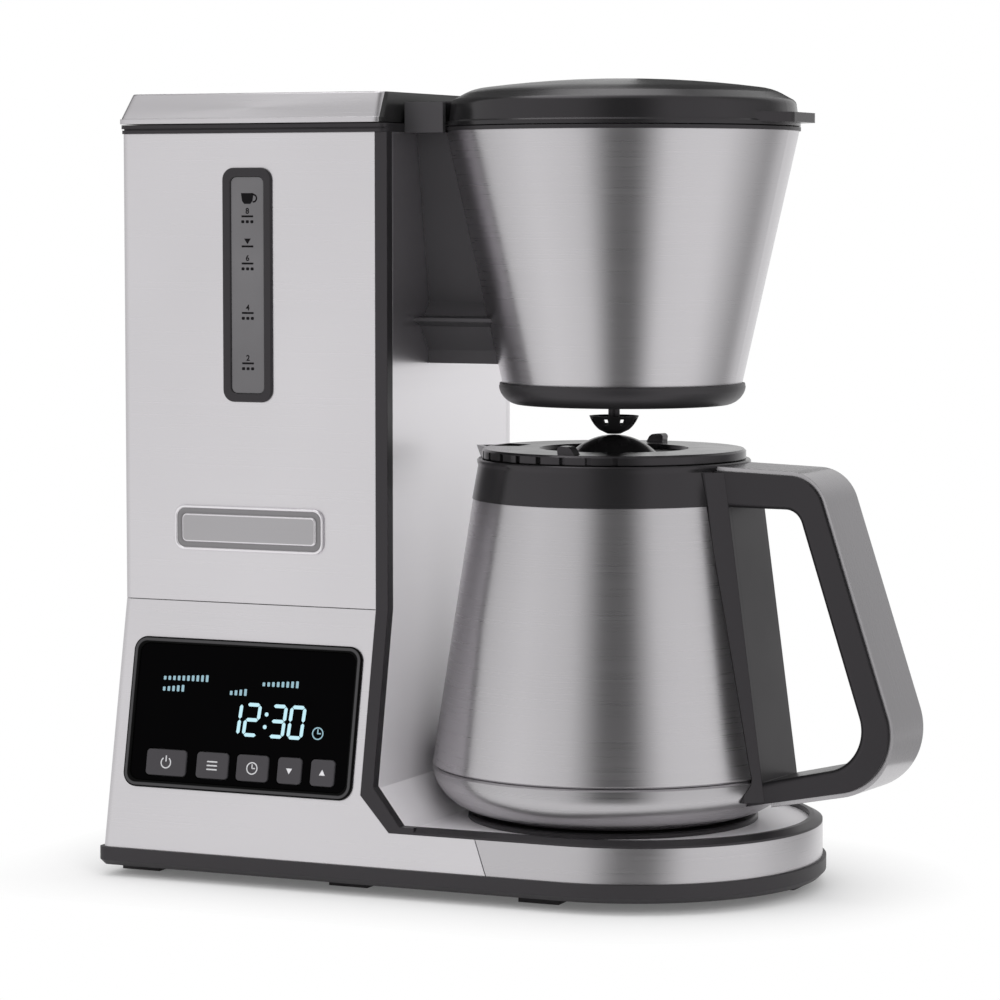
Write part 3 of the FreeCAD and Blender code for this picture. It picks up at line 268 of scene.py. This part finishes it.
def moulded_plastic(name, tone, rough, grain=PLASTIC_GRAIN, depth=0.00004, specular=0.5):
    paint = Paint(name)
    paint.set(Specular_IOR_Level=specular, Specular_Tint=PLASTIC_SHINE)
    fine = paint.noise((grain, grain, grain), detail=2.0)
    cloud = paint.noise((22, 22, 22), detail=3.0)
    paint.tint(cloud, shaded(tone, 0.9), shaded(tone, 1.1))
    paint.feed(paint.ranged(cloud, rough - 0.05, rough + 0.05), "Roughness")
    paint.bump(fine, strength=0.2, depth=depth)
    return paint.mat


def bezel_with_painted_highlight(name, black, grey):
    """Black frame of the display with a grey line along its rim, a painted highlight."""
    paint = Paint(name)
    paint.set(Specular_IOR_Level=0.05)
    low, high = corners("display_bezel")
    half_width = (high.x - low.x) / 2
    x, y, z = (paint.math("MULTIPLY", axis, 1 / MM) for axis in paint.place())
    up = paint.math("ADD", paint.math("MULTIPLY", paint.math("SUBTRACT", y, PANEL_Y), LEAN),
                    paint.math("MULTIPLY", paint.math("SUBTRACT", z, PANEL_Z), RISE))
    reach = paint.distance(paint.past(paint.off(x, DISPLAY_X), half_width - BEZEL_CORNER),
                           paint.past(paint.off(up, DISPLAY_UP), BEZEL_HALF - BEZEL_CORNER))
    off_highlight = paint.off(reach, HIGHLIGHT_RADIUS)
    # Painted highlight: the grey line along the rim of the black frame.
    paint.tint(paint.ranged(off_highlight, NOISE_HIGH, NOISE_LOW, HIGHLIGHT_FULL, HIGHLIGHT_FADE), black, grey)
    grain = paint.noise((PLASTIC_GRAIN,) * 3, detail=2.0)
    paint.feed(paint.ranged(grain, 0.36, 0.44), "Roughness")
    paint.bump(grain, strength=0.2, depth=0.00003)
    return paint.mat


def glowing(name, colour, strength):
    paint = Paint(name)
    paint.set(Base_Color=(0.02, 0.02, 0.02, 1), Emission_Color=(*colour, 1), Emission_Strength=strength)
    grain = paint.noise(EVEN_GRAIN, detail=1.0)
    paint.feed(paint.ranged(grain, 0.3, 0.45), "Roughness")
    return paint.mat


TURNED = {"scale": (10, 10, 1900), "tangent_axis": "Z", "rough": (0.26, 0.33), "depth": 0.00002}
panel_steel = brushed_steel("brushed_panel", LEVEL_LINES, "Z", tone=0.68)
side_steel = brushed_steel("brushed_side", LEVEL_LINES, "Z", rough=(0.3, 0.36), tone=0.88, stretch=0.1,
                           push=(0, 0.15, 0), foot=1.6, satin=0.1)
round_steel = brushed_steel("turned_steel", **TURNED, tone=0.6, stretch=0.6)
band_steel = brushed_steel("brushed_band", LEVEL_LINES, "Z", tone=0.54)
jug_steel = brushed_steel("turned_jug_steel", **TURNED, tone=0.56, stretch=0.6)
pan_steel = brushed_steel("turned_pan_steel", **TURNED, tone=0.48, stretch=0.5, push=(0, 0, 0.5))
# The lid's right end is painted near black, a painted dark reflection.
top_steel = brushed_steel("brushed_top", (6, 2600, 2600), "Y", tone=0.63, painted_reflection_from=-0.0431)
strap_steel = brushed_steel("brushed_strap", (12, 2600, 12), "Y", rough=(0.24, 0.28), tone=0.44,
                            depth=0.00001)
pin_steel = brushed_steel("drawn_steel", EVEN_GRAIN, "Y", rough=(0.24, 0.34), tone=0.55, stretch=0.2)
plate_dark = brushed_steel("plate_field", (9, 9, 1500), "Z", rough=(0.42, 0.5), tone=0.27, stretch=0.2)
# The bead's brighter steel is a painted highlight.
plate_painted_highlight = brushed_steel("plate_bead_painted_highlight", EVEN_GRAIN, "Z", rough=(0.3, 0.36), tone=0.86, stretch=0.1)
plate_light = brushed_steel("plate_face", (9, 9, 2200), "Z", rough=(0.32, 0.4), tone=0.42, stretch=0.3)
soft_black = moulded_plastic("soft_black_plastic", (0.0115, 0.011, 0.0118), 0.4)
arm_black = moulded_plastic("arm_black_plastic", (0.036, 0.0353, 0.037), 0.4)
ring_black = moulded_plastic("ring_black_plastic", (0.017, 0.0166, 0.0174), 0.4)
gloss_black = moulded_plastic("gloss_black_plastic", (0.0105, 0.0103, 0.0107), 0.22, 2400, 0.00001)
lid_black = moulded_plastic("lid_black_plastic", (0.0105, 0.0103, 0.0107), 0.19, 2400, 0.00001)
# The display frame is black with a painted highlight along its rim.
bezel_black_and_highlight = bezel_with_painted_highlight("display_frame_black_painted_highlight", (0.001, 0.001, 0.001), (0.06, 0.0588, 0.0612))
satin_black = moulded_plastic("satin_black_plastic", (0.010, 0.0098, 0.0103), 0.34)
matt_black = moulded_plastic("matt_black_plastic", (0.015, 0.0147, 0.0153), 0.5)
key_grey = moulded_plastic("key_grey_plastic", (0.033, 0.032, 0.035), 0.45)
lens_grey = moulded_plastic("window_grey", (0.122, 0.12, 0.124), 0.25, depth=0.00001)
glass_black = moulded_plastic("display_black", (0.0006, 0.0006, 0.0007), 0.16, depth=0.000004, specular=0.02)
rubber = moulded_plastic("foot_rubber", (0.016, 0.016, 0.016), 0.65, 900, 0.00008)
inner_grey = moulded_plastic("inner_plastic", (0.08, 0.08, 0.085), 0.45)
print_dark = moulded_plastic("print_dark", (0.004, 0.004, 0.0045), 0.6, specular=0.1)
print_light = moulded_plastic("print_light", (0.62, 0.62, 0.64), 0.5)
digit_glow = glowing("digit_glow", (0.55, 0.86, 0.95), 0.95)
mark_glow = glowing("mark_glow", (0.36, 0.6, 0.7), 0.75)

FINISHES = {
    panel_steel: "upper_wrap lower_fascia front_plate",
    band_steel: "base_band",
    side_steel: "side_panel",
    round_steel: "basket_shell shower_head",
    jug_steel: "jug_shell jug_liner",
    pan_steel: "jug_base_pan",
    top_steel: "tank_lid",
    soft_black: "basket_liner edge_trim top_frame rear_cover",
    arm_black: "brew_arm",
    ring_black: "basket_ring drip_valve",
    gloss_black: "brew_lid jug_collar",
    lid_black: "jug_lid",
    satin_black: "jug_handle jug_rest water_nozzle level_bezel",
    bezel_black_and_highlight: "display_bezel",
    matt_black: "base_tray cord_gland jug_foot screw_plugs",
    key_grey: "brew_button menu_button auto_button down_button up_button",
    lens_grey: "level_lens",
    glass_black: "display_lens",
    rubber: "rubber_feet valve_seal jug_lid_seal key_mat inlet_hose riser_hose",
    inner_grey: "water_tank tank_lid_liner display_module control_board power_board heater_stands "
                "check_valve",
    strap_steel: "handle_strap",
    pin_steel: "tank_lid_pin brew_lid_pins rear_screws flow_heater thermostat valve_spring",
}
for mat, names in FINISHES.items():
    for name in names.split():
        nodes[name].data.materials.clear()
        nodes[name].data.materials.append(mat)


# Own pieces, drawn in millimetres on a face of the machine

def on_panel(x, v, out):
    """A point on the tilted lower fascia: along it, up it and out of it."""
    return Vector((x, PANEL_Y + v * LEAN - out * RISE, PANEL_Z + v * RISE + out * LEAN)) * MM


def on_front(x, z, out):
    """A point on the upright upper front."""
    return Vector((x, FRONT_Y - out, z)) * MM


def on_rear(x, z, out):
    """A point on the rear cover."""
    return Vector((x, REAR_Y + out, z)) * MM


def centred(face, x, up):
    """The same face with its zero at the given place."""
    return lambda u, v, out: face(x + u, up + v, out)


def bridge(bm, before, after):
    """Faces between two closed loops of points."""
    made = []
    for i in range(len(before)):
        j = (i + 1) % len(before)
        made.append(bm.faces.new((before[i], before[j], after[j], after[i])))
    return made


def slab(bm, face, shape, low, high):
    """A thin solid over a closed shape."""
    under, over = [[bm.verts.new(face(u, v, out)) for u, v in shape] for out in (low, high)]
    bridge(bm, under, over)
    bm.faces.new(over)
    bm.faces.new(under[::-1])


def bar(left, low, right, high, corner=0.0, steps=5):
    """A rectangle, with round corners if a radius is given."""
    if not corner:
        return [(left, low), (right, low), (right, high), (left, high)]
    points = []
    for u, v, start in ((right - corner, low + corner, -90), (right - corner, high - corner, 0),
                        (left + corner, high - corner, 90), (left + corner, low + corner, 180)):
        for i in range(steps + 1):
            turn = math.radians(start + 90 * i / steps)
            points.append((u + corner * math.cos(turn), v + corner * math.sin(turn)))
    return points


def arc_band(u, v, radius, width, start, end, steps=28):
    """Part of a ring."""
    turns = [math.radians(start + (end - start) * i / steps) for i in range(steps + 1)]
    outside = [(u + radius * math.cos(t), v + radius * math.sin(t)) for t in turns]
    inside = [(u + (radius - width) * math.cos(t), v + (radius - width) * math.sin(t)) for t in turns]
    return outside + inside[::-1]


def ring(u, v, radius, width):
    """A whole ring, as two halves."""
    return [arc_band(u, v, radius, width, start, start + 180) for start in (0, 180)]


def finish_piece(name, bm, mats, body, smooth=False):
    bmesh.ops.recalc_face_normals(bm, faces=bm.faces)
    for face in bm.faces:
        face.smooth = smooth
    mesh = bpy.data.meshes.new(name)
    bm.to_mesh(mesh)
    bm.free()
    for mat in mats:
        mesh.materials.append(mat)
    made = bpy.data.objects.new(name, mesh)
    scene.collection.objects.link(made)
    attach(made, body)
    return made


# Level marks on the window

LEVELS = {"8": 274.1, "6": 254.8, "4": 234.5, "2": 213.8}
MARK_HALF, MARK_THICK, MARK_CORNER = 2.7, 0.38, 0.2
NUMBER_UP, NUMBER_SIZE = 2.1, 3.3
DOT_STEP, DOT_WIDTH, DOT_LOW, DOT_HIGH, DOT_CORNER = 2.1, 1.4, -2.8, -1.6, 0.4
ARROW_LEVEL = 261.8
ARROW = ((-1.5, 3.2), (0, 0.9), (1.5, 3.2))
CUP_LEVEL = 281.2
CUP = ((-2.9, 2.4), (-2.4, -0.8), (-1.4, -2.0), (1.4, -2.0), (2.4, -0.8), (2.9, 2.4))
CUP_HANDLE = arc_band(2.8, 0.3, 1.8, 0.65, -100, 100)
WINDOW_OUT = FRONT_Y - corners("level_lens")[0].y
WINDOW_INK = 0.06


def figures(bm, face, text, up, size, low, high):
    """Plain figures, centred at a height up a face."""
    curve = bpy.data.curves.new("figures", "FONT")
    curve.body = text
    curve.size = size
    curve.align_x = "CENTER"
    curve.align_y = "CENTER"
    curve.extrude = 0.5
    curve.offset = 0.02 * size
    holder = bpy.data.objects.new("figures", curve)
    scene.collection.objects.link(holder)
    depsgraph = bpy.context.evaluated_depsgraph_get()
    mesh = bpy.data.meshes.new_from_object(holder.evaluated_get(depsgraph))
    before = len(bm.verts)
    bm.from_mesh(mesh)
    bm.verts.ensure_lookup_table()
    for vert in bm.verts[before:]:
        x, y, z = vert.co
        vert.co = face(x, up + y, low + (high - low) * (z + curve.extrude))
    bpy.data.objects.remove(holder)
    bpy.data.meshes.remove(mesh)


def level_marks():
    bm = bmesh.new()
    face = centred(on_front, middle("level_lens").x, 0)
    low, high = WINDOW_OUT, WINDOW_OUT + WINDOW_INK
    for number, z in LEVELS.items():
        figures(bm, face, number, z + NUMBER_UP, NUMBER_SIZE, low, high)
        for step in (-1, 0, 1):
            left = step * DOT_STEP - DOT_WIDTH / 2
            slab(bm, face, bar(left, z + DOT_LOW, left + DOT_WIDTH, z + DOT_HIGH, DOT_CORNER), low, high)
    for z in (*LEVELS.values(), ARROW_LEVEL):
        slab(bm, face, bar(-MARK_HALF, z - MARK_THICK, MARK_HALF, z + MARK_THICK, MARK_CORNER), low, high)
    for level, sign in ((ARROW_LEVEL, ARROW), (CUP_LEVEL, CUP), (CUP_LEVEL, CUP_HANDLE)):
        slab(bm, face, [(u, level + v) for u, v in sign], low, high)
    finish_piece("level_marks", bm, [print_dark], "machine")


# Lit signs of the display, about its middle

LIT = {"0": "abcdef", "1": "bc", "2": "abged", "3": "abgcd"}
PAIRS = (("12", -7.9), ("30", 12.7))
DIGIT_LOW, DIGIT_HEIGHT, DIGIT_WIDTH, DIGIT_STEP = -7.9, 14.0, 7.4, 8.6
DIGIT_THICK, DIGIT_GAP, DIGIT_SLANT = 1.5, 0.16, 0.07
COLON_X, COLON_DOTS, COLON_RADIUS, COLON_BORE = 10.8, (4.4, 9.6), 0.85, 0.01

# Rows of bars: where each starts, its foot and how many bars it has
BAR_ROWS = ((-38.0, 13.6, 10), (-38.0, 9.0, 5), (-6.4, 8.8, 4), (8.4, 13.2, 8))
BAR_STEP, BAR_WIDTH, BAR_BASE, BAR_CORNER = 2.2, 1.2, 1.4, 0.3
CLOCK_X, CLOCK_UP = 35.6, -4.8
CLOCK_RADIUS, CLOCK_RIM, HAND_HALF, HAND_TAIL = 2.6, 0.5, 0.25, 0.2

# How far out of the fascia the display ends, and how far out its figures and marks reach
DISPLAY_OUT, DIGIT_OUT, MARK_OUT = 0.6, 0.64, 0.63


def segments(left):
    """The seven strokes of an upright figure."""
    half = DIGIT_THICK / 2
    first, last = left + half, left + DIGIT_WIDTH - half
    low, centre, high = DIGIT_LOW + half, DIGIT_LOW + DIGIT_HEIGHT / 2, DIGIT_LOW + DIGIT_HEIGHT - half

    def across(v):
        a, b = first + DIGIT_GAP, last - DIGIT_GAP
        return [(a, v), (a + half, v + half), (b - half, v + half),
                (b, v), (b - half, v - half), (a + half, v - half)]

    def upright(u, bottom, top):
        a, b = bottom + DIGIT_GAP, top - DIGIT_GAP
        return [(u, a), (u + half, a + half), (u + half, b - half),
                (u, b), (u - half, b - half), (u - half, a + half)]

    return {"a": across(high), "g": across(centre), "d": across(low),
            "f": upright(first, centre, high), "e": upright(first, low, centre),
            "b": upright(last, centre, high), "c": upright(last, low, centre)}


def clock(u, v, upright, level):
    """A clock sign whose two hands have the given lengths."""
    return ring(u, v, CLOCK_RADIUS, CLOCK_RIM) + [
        bar(u - HAND_HALF, v - HAND_TAIL, u + HAND_HALF, v + upright),
        bar(u - HAND_HALF, v - HAND_HALF, u + level, v + HAND_HALF)]


on_display = centred(on_panel, DISPLAY_X, DISPLAY_UP)


def clock_figures():
    bm = bmesh.new()
    for pair, start in PAIRS:
        for i, figure in enumerate(pair):
            strokes = segments(start + i * DIGIT_STEP)
            for name in LIT[figure]:
                shape = [(u + (v - DIGIT_LOW) * DIGIT_SLANT, v) for u, v in strokes[name]]
                slab(bm, on_display, shape, DISPLAY_OUT, DIGIT_OUT)
    for up in COLON_DOTS:
        u, v = COLON_X + up * DIGIT_SLANT, DIGIT_LOW + up
        for shape in ring(u, v, COLON_RADIUS, COLON_RADIUS - COLON_BORE):
            slab(bm, on_display, shape, DISPLAY_OUT, DIGIT_OUT)
    finish_piece("clock_figures", bm, [digit_glow], "machine")


def display_marks():
    bm = bmesh.new()
    shapes = clock(CLOCK_X, CLOCK_UP, upright=1.8, level=1.5)
    for start, foot, count in BAR_ROWS:
        for i in range(count):
            left = start + i * BAR_STEP
            tall = BAR_BASE * (1 + (i + 1) / count)
            shapes.append(bar(left, foot, left + BAR_WIDTH, foot + tall, BAR_CORNER))
    for shape in shapes:
        slab(bm, on_display, shape, DISPLAY_OUT, MARK_OUT)
    finish_piece("display_marks", bm, [mark_glow], "machine")


# Signs on the keys, about the middle of each

# Up the fascia to the middle of the keys, and out of it to their tops and to the print on them
KEY_UP, KEY_OUT, SIGN_OUT = 36.4, 1.3, 1.34
KEY_SIGNS = {
    "brew": [arc_band(0, 0, 2.5, 0.55, 125, 415), bar(-0.28, 0.4, 0.28, 3.0, 0.2)],
    "menu": [bar(-2.45, v - 0.3, 2.45, v + 0.3, 0.25) for v in (-1.6, 0, 1.6)],
    "auto": clock(0, 0, upright=1.7, level=1.4),
    "down": [[(-1.4, 1.0), (0, -1.4), (1.4, 1.0)]],
    "up": [[(-1.4, -1.0), (1.4, -1.0), (0, 1.4)]],
}


def key_signs():
    for name, shapes in KEY_SIGNS.items():
        bm = bmesh.new()
        face = centred(on_panel, middle(name + "_button").x, KEY_UP)
        for shape in shapes:
            slab(bm, face, shape, KEY_OUT, SIGN_OUT)
        finish_piece(name + "_sign", bm, [print_light], name + "_button")


# Bare plate on the front: a bead round a dark field with a raised face; the bead and the face's edge are
# brighter steel, a painted highlight over their rounded shape

PLATE_CORNER, PLATE_SHRINK, PLATE_SHARP = 4.5, 0.7, 0.5
PLATE_MATS = [plate_painted_highlight, plate_dark, plate_light, plate_painted_highlight]
BEAD, FIELD, FACE, FACE_EDGE = range(4)

# Each step: how far in from the rim, how far out of the front, and what the face that leads there is
PLATE_STEPS = ((0, 0, BEAD), (0, 0.9, BEAD), (0.15, 1.2, BEAD), (0.4, 1.34, BEAD), (0.75, 1.34, BEAD),
               (1.0, 1.2, BEAD), (1.15, 0.75, BEAD), (1.2, 0.7, FIELD), (3.5, 0.7, FIELD),
               (3.55, 0.8, FACE_EDGE), (3.7, 1.15, FACE_EDGE), (4.1, 1.25, FACE_EDGE),
               (4.3, 1.26, FACE), (4.6, 1.26, FACE))


def front_plate():
    bm = bmesh.new()
    low, high = corners("front_plate")
    before = None
    for inset, out, part in PLATE_STEPS:
        corner = max(PLATE_CORNER - inset * PLATE_SHRINK, PLATE_SHARP)
        shape = bar(low.x + inset, low.z + inset, high.x - inset, high.z - inset, corner, 8)
        loop = [bm.verts.new(on_front(u, v, out)) for u, v in shape]
        if before:
            for face in bridge(bm, before, loop):
                face.material_index = part
        else:
            bm.faces.new(loop[::-1])
        before = loop
    bm.faces.new(before).material_index = FACE
    made = finish_piece("front_plate_face", bm, PLATE_MATS, "machine", True)
    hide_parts("front_plate")


# Screws at the rear, with domed heads and a cross recess

SCREW_SIDE, SCREW_RISE, SCREW_CROWN = 33.0, 95.0, 1.2

# Radius and height of each ring from the crown to the rim
SCREW_RINGS = ((0.9, 1.17), (1.7, 1.02), (2.35, 0.76), (2.8, 0.4), (3.0, 0.0))
CROSS_LONG, CROSS_NARROW, CROSS_FLOOR, CROSS_TOP = 1.9, 0.34, 0.35, 1.6


def carve(piece, cut):
    """Take solids out of a piece."""
    bmesh.ops.recalc_face_normals(cut, faces=cut.faces)
    mesh = bpy.data.meshes.new("cross_cut")
    cut.to_mesh(mesh)
    cut.free()
    cutter = bpy.data.objects.new("cross_cut", mesh)
    scene.collection.objects.link(cutter)
    cross = piece.modifiers.new("cross", "BOOLEAN")
    cross.object = cutter
    cross.solver = "EXACT"
    cross.use_self = True
    depsgraph = bpy.context.evaluated_depsgraph_get()
    carved = bpy.data.meshes.new_from_object(piece.evaluated_get(depsgraph))
    piece.modifiers.clear()
    piece.data = carved
    bpy.data.objects.remove(cutter)


def rear_screws():
    bm = bmesh.new()
    cut = bmesh.new()
    centre = middle("rear_screws")
    count = 40
    turns = [2 * math.pi * i / count for i in range(count)]
    for side, rise in ((-1, -1), (1, -1), (-1, 1), (1, 1)):
        face = centred(on_rear, centre.x + side * SCREW_SIDE, centre.z + rise * SCREW_RISE)
        crown = bm.verts.new(face(0, 0, SCREW_CROWN))
        rings = []
        for radius, out in SCREW_RINGS:
            rings.append([bm.verts.new(face(radius * math.cos(t), radius * math.sin(t), out)) for t in turns])
        for i in range(count):
            bm.faces.new((crown, rings[0][i], rings[0][(i + 1) % count]))
        for inner, outer in zip(rings, rings[1:]):
            bridge(bm, inner, outer)
        bm.faces.new(rings[-1])
        for wide, tall in ((CROSS_LONG, CROSS_NARROW), (CROSS_NARROW, CROSS_LONG)):
            slab(cut, face, bar(-wide, -tall, wide, tall), CROSS_FLOOR, CROSS_TOP)
    heads = finish_piece("rear_screw_heads", bm, [pin_steel], "machine", True)
    carve(heads, cut)
    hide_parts("rear_screws")


# Spring of the drip valve, as a coil of fixed length

VALVE_X = joint("jug_lid_turn")["pos_m"][0] / MM
SPRING_FOOT, SPRING_RADIUS, SPRING_WIRE, SPRING_PITCH, SPRING_TURNS = 203.9, 4.4, 0.45, 2.1, 4.4


def valve_spring():
    bm = bmesh.new()
    per_turn, count = 32, 12
    loops = []
    for i in range(round(per_turn * SPRING_TURNS) + 1):
        turn = 2 * math.pi * i / per_turn
        z = SPRING_FOOT + SPRING_PITCH * i / per_turn
        loop = []
        for k in range(count):
            side = 2 * math.pi * k / count
            reach = SPRING_RADIUS + SPRING_WIRE * math.cos(side)
            spot = Vector((VALVE_X + reach * math.cos(turn), reach * math.sin(turn),
                           z + SPRING_WIRE * math.sin(side)))
            loop.append(bm.verts.new(spot * MM))
        loops.append(loop)
    for before, after in zip(loops, loops[1:]):
        bridge(bm, before, after)
    bm.faces.new(loops[0])
    bm.faces.new(loops[-1][::-1])
    coil = finish_piece("valve_coil", bm, [pin_steel], "machine", True)
    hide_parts("valve_spring")
    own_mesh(coil)


level_marks()
clock_figures()
display_marks()
key_signs()
front_plate()
rear_screws()
valve_spring()


# Studio, in metres

# The object's outline on the floor: its left side, the middle of its round end and half its depth
FOOT_LEFT, FOOT_END, FOOT_HALF = -0.164, 0.044, 0.08
FLOOR = 8.0

# The share by which the floor glows at the object, and how far off it glows fully
SHADE_NEAR, SHADE_REACH = 0.12, 0.06

# Pale cards stand round the table, with a dark gap at the camera, so that the steel shows soft bands.
# Each stop gives a bearing, from the front towards +X, and the level there.
CARDS = ((-180, 0.95), (-157, 0.7), (-80, 0.75), (-35, 0.96), (1, 0.82), (19, 0.11), (37, 0.11),
         (54, 0.9), (90, 0.96), (128, 0.36), (148, 0.85), (180, 0.95))
CARD_RADIUS, CARD_HEIGHT, CARD_FOOT, CARD_LIFT, CARD_FADE = 0.48, 1.0, 0.22, 0.0005, 0.72

# The ceiling is brighter over the tower than over the jug: a place along x and the level there.
CEILING_TOWER, CEILING_JUG = (-0.12, 2.1), (0.1, 0.65)

# Grey cards hang behind the brew lid and to the left of it, each between two bearings.
HUNG_CARDS = {"hung_card_back": (177, 197), "hung_card_left": (214, 268)}
HUNG_RADIUS, HUNG_LOW, HUNG_HIGH = 0.47, 0.34, 0.95
HUNG_LEVELS, HUNG_FADE = (0.1, 0.14), (0.3, 1.0)

WORLD_LEVEL = 0.86
CAMERA_PLACE, CAMERA_TARGET = (0.6274, -1.4323, 0.2778), (-0.016, 0, 0.156)
CAMERA_LENS, CAMERA_SENSOR = 135.84, 36


def stage_mesh(name, verts, faces, mat):
    mesh = bpy.data.meshes.new(name)
    mesh.from_pydata(verts, [], faces)
    mesh.materials.append(mat)
    made = bpy.data.objects.new(name, mesh)
    scene.collection.objects.link(made)
    return made


def floor_material():
    """A white floor that takes the object's shadow near its foot."""
    paint = Paint("pale_floor")
    paint.set(Base_Color=(0.93, 0.93, 0.93, 1), Roughness=0.9, Specular_IOR_Level=0.0)
    place = paint.place()
    wide = paint.distance(paint.past(place["X"], FOOT_END), place["Y"])
    away = paint.distance(paint.past(FOOT_LEFT, place["X"]), paint.past(wide, FOOT_HALF))
    glow = paint.node("Emission", Strength=1.0)
    mix = paint.node("MixShader")
    paint.link(paint.ranged(away, SHADE_NEAR, 1.0, 0.0, SHADE_REACH), mix.inputs[0])
    paint.link(paint.shader.outputs[0], mix.inputs[1])
    paint.link(glow.outputs[0], mix.inputs[2])
    paint.surface(mix)
    return paint.mat


def glow_only(paint, level):
    glow = paint.node("Emission")
    paint.link(level, glow.inputs["Strength"])
    paint.surface(glow)
    return paint.mat


def card_material():
    paint = Paint("studio_cards")
    place = paint.place()
    bearing = paint.math("ARCTAN2", place["X"], paint.math("MULTIPLY", place["Y"], -1.0))
    ramp = paint.node("ValToRGB")
    stops = ramp.color_ramp.elements
    while len(stops) < len(CARDS):
        stops.new(0.5)
    for stop, (angle, level) in zip(stops, CARDS):
        stop.position = (angle + 180) / 360
        stop.color = (level, level, level, 1)
    paint.link(paint.ranged(bearing, 0.0, 1.0, -math.pi, math.pi), ramp.inputs["Fac"])
    fade = paint.ranged(place["Z"], 1.0, CARD_FADE, 0.0, CARD_HEIGHT)
    return glow_only(paint, paint.math("MULTIPLY", ramp.outputs["Color"], fade))


def ceiling_material():
    paint = Paint("studio_ceiling")
    (start, low), (end, high) = CEILING_TOWER, CEILING_JUG
    return glow_only(paint, paint.ranged(paint.place()["X"], low, high, start, end))


def hung_material():
    paint = Paint("hung_card")
    return glow_only(paint, paint.ranged(paint.place()["Z"], *HUNG_LEVELS, *HUNG_FADE))


def around(radius, z, turns):
    """Points round the table at the given bearings."""
    return [(radius * math.sin(t), -radius * math.cos(t), z) for t in turns]


def studio_cards():
    """Cards that only reflections show."""
    count, parts = 96, 8
    turns = [2 * math.pi * i / count for i in range(count)]
    rims = ((CARD_FOOT, CARD_LIFT), (CARD_RADIUS, CARD_LIFT), (CARD_RADIUS, CARD_HEIGHT))
    verts = [spot for radius, z in rims for spot in around(radius, z, turns)]
    faces = []
    for row in range(len(rims) - 1):
        for i in range(count):
            a, b = row * count + i, row * count + (i + 1) % count
            faces.append((a, b, b + count, a + count))
    cards = [stage_mesh("studio_cards", verts, faces, card_material()),
             stage_mesh("studio_ceiling", verts[-count:], [range(count)], ceiling_material())]
    grey = hung_material()
    for name, (first, last) in HUNG_CARDS.items():
        turns = [math.radians(first + (last - first) * i / parts) for i in range(parts + 1)]
        verts = around(HUNG_RADIUS, HUNG_LOW, turns) + around(HUNG_RADIUS, HUNG_HIGH, turns)
        faces = [(i, i + 1, i + parts + 2, i + parts + 1) for i in range(parts)]
        cards.append(stage_mesh(name, verts, faces, grey))
    for card in cards:
        card.visible_camera = False
        card.visible_diffuse = False
        card.visible_shadow = False
        card.visible_transmission = False


def studio_world():
    """Even light from all round, and plain white where the camera, gloss or glass sees it."""
    world = bpy.data.worlds.new("studio")
    scene.world = world
    world.use_nodes = True
    sky = world.node_tree
    rays = sky.nodes.new("ShaderNodeLightPath")
    seen = rays.outputs["Is Camera Ray"]
    for kind in ("Is Glossy Ray", "Is Transmission Ray"):
        either = sky.nodes.new("ShaderNodeMath")
        either.operation = "MAXIMUM"
        sky.links.new(seen, either.inputs[0])
        sky.links.new(rays.outputs[kind], either.inputs[1])
        seen = either.outputs[0]
    strength = sky.nodes.new("ShaderNodeMapRange")
    strength.inputs["To Min"].default_value = WORLD_LEVEL
    strength.inputs["To Max"].default_value = 1.0
    sky.links.new(seen, strength.inputs["Value"])
    sky.links.new(strength.outputs["Result"], sky.nodes["Background"].inputs["Strength"])
    sky.nodes["Background"].inputs["Color"].default_value = (1, 1, 1, 1)


def aim(made, place, target):
    made.location = place
    made.rotation_euler = (Vector(target) - Vector(place)).to_track_quat("-Z", "Y").to_euler()
    scene.collection.objects.link(made)


def lamp(name, place, target, size, power):
    light = bpy.data.lights.new(name, "AREA")
    light.shape = "RECTANGLE"
    light.size, light.size_y = size
    light.energy = power
    made = bpy.data.objects.new(name, light)
    made.visible_glossy = False
    aim(made, place, target)


def photo_camera():
    data = bpy.data.cameras.new("camera")
    data.sensor_width = CAMERA_SENSOR
    data.lens = CAMERA_LENS
    made = bpy.data.objects.new("camera", data)
    aim(made, CAMERA_PLACE, CAMERA_TARGET)
    scene.camera = made


stage_mesh("floor", [(-FLOOR, -FLOOR, 0), (FLOOR, -FLOOR, 0), (FLOOR, FLOOR, 0), (-FLOOR, FLOOR, 0)],
           [(0, 1, 2, 3)], floor_material())
studio_cards()
studio_world()
lamp("key_lamp", place=(-1.1, -0.7, 1.7), target=(0, 0, 0.15), size=(1.0, 1.0), power=4)
lamp("top_lamp", place=(0.1, 0.1, 1.9), target=(0, 0, 0.1), size=(1.2, 1.2), power=3.4)
lamp("fill_lamp", place=(1.1, -1.2, 0.6), target=(0, 0, 0.15), size=(0.8, 1.0), power=8.5)
photo_camera()
